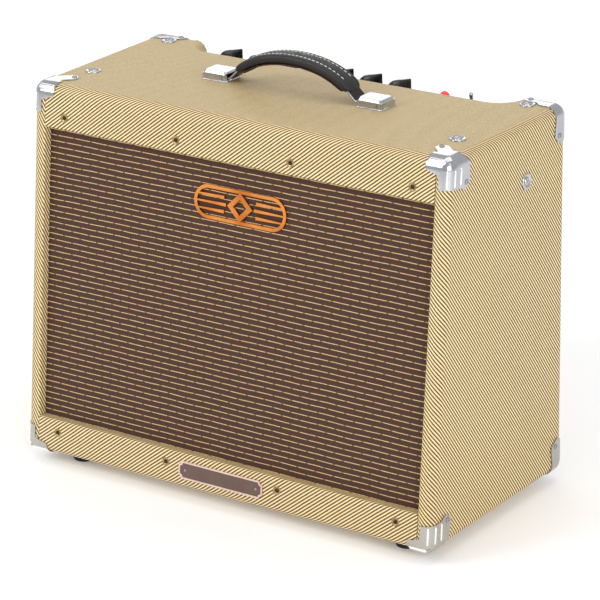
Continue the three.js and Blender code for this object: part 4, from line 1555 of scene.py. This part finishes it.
def speaker_cone():
    """The ribbed paper cone with its dust cap and the rolls of its surround."""
    s, steps = SEAT, 12
    front = [(0.2, s + 36), (18, s + 39), (30, s + 46)]
    back = []
    for k in range(steps + 1):
        share = k / steps
        rib = 0.25 * (k % 2)
        if k:
            front.append((30 + (122 - 30) * share, s + 46 - 37 * share ** 0.9 + rib))
        back.append((125 - (125 - 27) * share, s + 12.5 + 38 * share ** 1.1 + rib))
    rolls = [(124, s + 7), (126, s + 9), (128, s + 6.4), (130, s + 8.6), (132, s + 6.8), (134, s + 8),
             (134, s + 10), (132, s + 8.8), (130, s + 10.6), (128, s + 8.4), (126, s + 11)]
    profile = front + rolls + back + [(26, s + 57), (0.2, s + 57)]
    body = turned_ring("speaker_paper", profile, on_axis, 72)
    dress(crisp(body, 50), paper, "cone", replaces=["speaker_cone"])


def speaker_magnet():
    """The ferrite ring between two steel yokes, with a cap on the pole."""
    m = SEAT + 64.3
    yoke = [(20, m), (62, m), (62.6, m + 0.6), (62.6, m + 4.4), (62, m + 5), (20, m + 5)]
    back_yoke = [(12, m + 25), (59, m + 25), (60, m + 26), (60, m + 30.5), (58.5, m + 32), (14, m + 32),
                 (12, m + 30)]
    ferrite = [(18, m + 5.1), (74.5, m + 5.1), (76, m + 6.6), (76, m + 23.4), (74.5, m + 24.9),
               (18, m + 24.9)]
    cap = [(0.2, m + 29), (11.5, m + 29), (11.5, m + 30), (10, m + 31.2), (0.2, m + 31.6)]
    plates = joined("speaker_plates", [turned_ring("yoke", ring, on_axis, 64) for ring in (yoke, back_yoke)])
    dress(crisp(plates), steel, replaces=["speaker_magnet"])
    ring = crisp(turned_ring("speaker_ferrite", ferrite, on_axis, 64))
    dress(ring, black_paint, replaces=["speaker_magnet"])
    dress(crisp(turned_ring("speaker_pole_cap", cap, on_axis, 40)), black_paint)


def speaker_fixings():
    """Eight bolts through the rim and the strip that the speaker's wires go to."""
    spots = []
    for k, (cos, sin) in enumerate(circle(8, 0.5)):
        place = on_axis(147 * MM * cos, 147 * MM * sin, (SEAT + 2.4) * MM)
        spots.append((place, -FRONT_NORMAL, k))
    screw_set("speaker_bolts", spots, 3.6 * MM, 2.2 * MM, dark_steel)
    strip = outward(block("speaker_terminal_strip", (-16 * MM, 0, 0), (16 * MM, 3 * MM, 12 * MM), 0.6 * MM))
    strip.data.transform(Matrix.Translation(on_axis(0, 72 * MM, (SEAT + 62) * MM)))
    dress(strip, knob_black)


def tube(node, x, radius, length):
    """A glass valve hanging from its socket, with its plates, micas, getter and support rods."""
    place = in_cabinet(x, 92, 359.7)
    skin = [(0, -length - 5), (0.9, -length - 4.6), (1.5, -length - 3), (2.2, -length - 1.9),
            (radius * 0.6, -length - 1.2), (radius * 0.86, -length + 0.8), (radius * 0.97, -length + 3.4),
            (radius, -length + 7), (radius, -6), (radius * 0.96, -2), (radius * 0.9, -0.2), (0, -0.2)]
    dress(lathe(node + "_glass", mm(skin), place, 40), glass, replaces=[node])
    half = radius * 0.62
    anode = rounded_outline(mm(rectangle(0, 0, half, half * 0.6)), [half * 0.5 * MM] * 4, 4)
    parts = [prism("anode", anode, standing_at(place), -length * 0.8 * MM, -length * 0.28 * MM)]
    for share, spread in ((0.24, 0.5), (0.27, 0.86), (0.81, 0.86), (0.84, 0.5)):
        wide, low = radius * spread, -length * share
        mica = mm([(0, low), (wide, low), (wide, low + 0.5), (0, low + 0.5)])
        parts.append(lathe("mica", mica, place, 24))
    reach = radius * 0.5
    for cos, sin in circle(4, 0.5):
        start = Vector(place) + Vector((reach * cos, reach * sin, -1)) * MM
        end = start + Vector((0, 0, -length * 0.84 * MM))
        parts.append(swept("rod", [start, (start + end) / 2, end], 0.35 * MM, False, 6))
    dress(crisp(joined(node + "_plates", parts)), plate_steel)
    silvering = mm([(0, -length - 0.4), (radius * 0.55, -length + 0.4), (radius * 0.8, -length + 2.2),
                    (radius * 0.9, -length + 4.6), (0, -length + 4.8)])
    dress(lathe(node + "_getter", silvering, place, 32), nickel)
    rim = [(radius + out, h) for out, h in ((0.4, -8), (2.2, -7.4), (3.4, -5), (3.8, -1), (3.8, 0), (0.4, 0))]
    dress(crisp(turned_ring(node + "_socket", rim, standing_at(place), 40)), knob_black)


def chassis_fittings():
    """The mains socket's blades, the speaker socket's nut, and the chassis and transformer screws."""
    blades = []
    for dx, dz in ((-6.5, 3.5), (6.5, 3.5), (0, -4)):
        x, z = 205 + dx, 376.5 + dz
        blades.append(cabinet_block("blade", (x - 1, 124.5, z - 2.6), (x + 1, 141.5, z + 2.6), 0.4 * MM))
    dress(joined("inlet_blades", blades), steel)
    bolts = []
    for x in (187.5, 222.5):
        bolts += screw_head(2.6 * MM, 1.4 * MM, in_cabinet(x, 143.3, 376.5), BACKWARDS)
    for x in (-240, -130, 20, 120, 240):
        bolts += screw_head(3.2 * MM, 1.6 * MM, in_cabinet(x, 141, 368), BACKWARDS, x)
    dress(joined("chassis_screws", bolts), steel)
    centre = Vector(in_cabinet(-60, 141, 382))
    ring = [(7.1, 0.1), (10.4, 0.1), (10.4, 1.6), (9.6, 2.4), (7.1, 2.4)]
    nut = turned_ring("speaker_jack_nut", ring, lambda x, z, y: centre + Vector((x, y, z)), 6)
    dress(nut, chrome)
    for name, x, half, depth, under in (("power", 196, 44, 38, 281.6), ("output", -196, 31, 29, 301.6)):
        spots = []
        for sx in (-1, 1):
            for sy in (-1, 1):
                place = in_cabinet(x + sx * half * 0.9, 30 + sy * depth * 0.45, under)
                spots.append((place, (0, 0, -1), sx))
        screw_set(f"{name}_transformer_screws", spots, 3.2 * MM, 2.2 * MM, steel)


lower_back()
guard()
cleats()
speaker_frame()
speaker_cone()
speaker_magnet()
speaker_fixings()
for number in range(4):
    tube(f"power_tube_{number + 1}", -132 + 40 * number, 11, 62)
for number in range(3):
    tube(f"preamp_tube_{number + 1}", 38 + 40 * number, 10, 44)
chassis_fittings()

# ------------------------------------------------------------------ carried-over CAD nodes

CARRIED = {
    "grille_cloth": grille_cloth,
    "baffle_board": plywood,
    "grille_frame": plywood,
    "chassis_tray": black_paint,
    "control_panel": chrome,
    "circuit_board": board_green,
    "input_jack_1": steel,
    "input_jack_2": steel,
    "power_transformer": black_paint,
    "output_transformer": black_paint,
    "reverb_tank": black_paint,
    "power_inlet": knob_black,
}
for name, finish in CARRIED.items():
    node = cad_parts[name]
    node.data.materials.clear()
    node.data.materials.append(finish)

# ------------------------------------------------------------------ stage, lights and camera


def stage_floor():
    """A wide, plain pale floor."""
    verts = [(x, y, 0) for x, y in rectangle(0, 0, 40.0, 40.0)]
    floor = mesh_object("stage_floor", verts, [(0, 1, 2, 3)])
    n = Nodes("paper_white")
    n.set(
        Base_Color=srgb(252, 252, 252),
        Roughness=0.95,
        Emission_Color=(1, 1, 1, 1),
        Emission_Strength=0.13,
    )
    floor.data.materials.append(n.material)


def area_light(name, place, size, power):
    """A soft rectangular light that points at the middle of the cabinet."""
    data = bpy.data.lights.new(name, "AREA")
    data.shape = "RECTANGLE"
    data.size, data.size_y = size
    data.energy = power
    light = bpy.data.objects.new(name, data)
    bpy.context.scene.collection.objects.link(light)
    light.location = place
    light.rotation_euler = (Vector((0, 0, 0.22)) - Vector(place)).to_track_quat("-Z", "Y").to_euler()


def place_camera():
    """A long lens at the front right, a little above the cabinet, turned slightly about its axis."""
    azimuth, elevation, roll = math.radians(34.65), math.radians(20.57), math.radians(-0.97)
    distance = 3.7533
    aim_right, aim_up = 0.00963, 0.18446  # what the lens points at, from the middle of the base
    data = bpy.data.cameras.new("camera")
    data.lens = 192.94
    data.sensor_width = 36.0
    camera = bpy.data.objects.new("camera", data)
    bpy.context.scene.collection.objects.link(camera)
    right = Vector((math.cos(azimuth), math.sin(azimuth), 0))
    back = Vector((
        math.sin(azimuth) * math.cos(elevation),
        -math.cos(azimuth) * math.cos(elevation),
        math.sin(elevation),
    ))
    up = back.cross(right)
    tilted_right = right * math.cos(roll) + up * math.sin(roll)
    tilted_up = up * math.cos(roll) - right * math.sin(roll)
    aim = tilted_right * aim_right + tilted_up * aim_up
    place = aim + back * distance + Vector((0, 0, BASE))
    turn = Matrix((tilted_right, tilted_up, back)).transposed().to_4x4()
    camera.matrix_world = Matrix.Translation(place) @ turn
    bpy.context.scene.camera = camera


stage_floor()
area_light("key", (-1.6, -2.4, 2.2), (1.6, 1.6), 40)
area_light("fill", (2.8, -1.8, 1.4), (2.0, 2.0), 42)
area_light("overhead", (0.2, 0.4, 3.2), (2.4, 2.4), 20)
area_light("rim", (-1.75, 2.5, 1.65), (2.0, 1.1), 8)
world = bpy.data.worlds.new("world")
world.use_nodes = True
world.node_tree.nodes["Background"].inputs["Color"].default_value = (1, 1, 1, 1)
world.node_tree.nodes["Background"].inputs["Strength"].default_value = 0.62
bpy.context.scene.world = world
bpy.context.scene.view_settings.view_transform = "Standard"
place_camera()
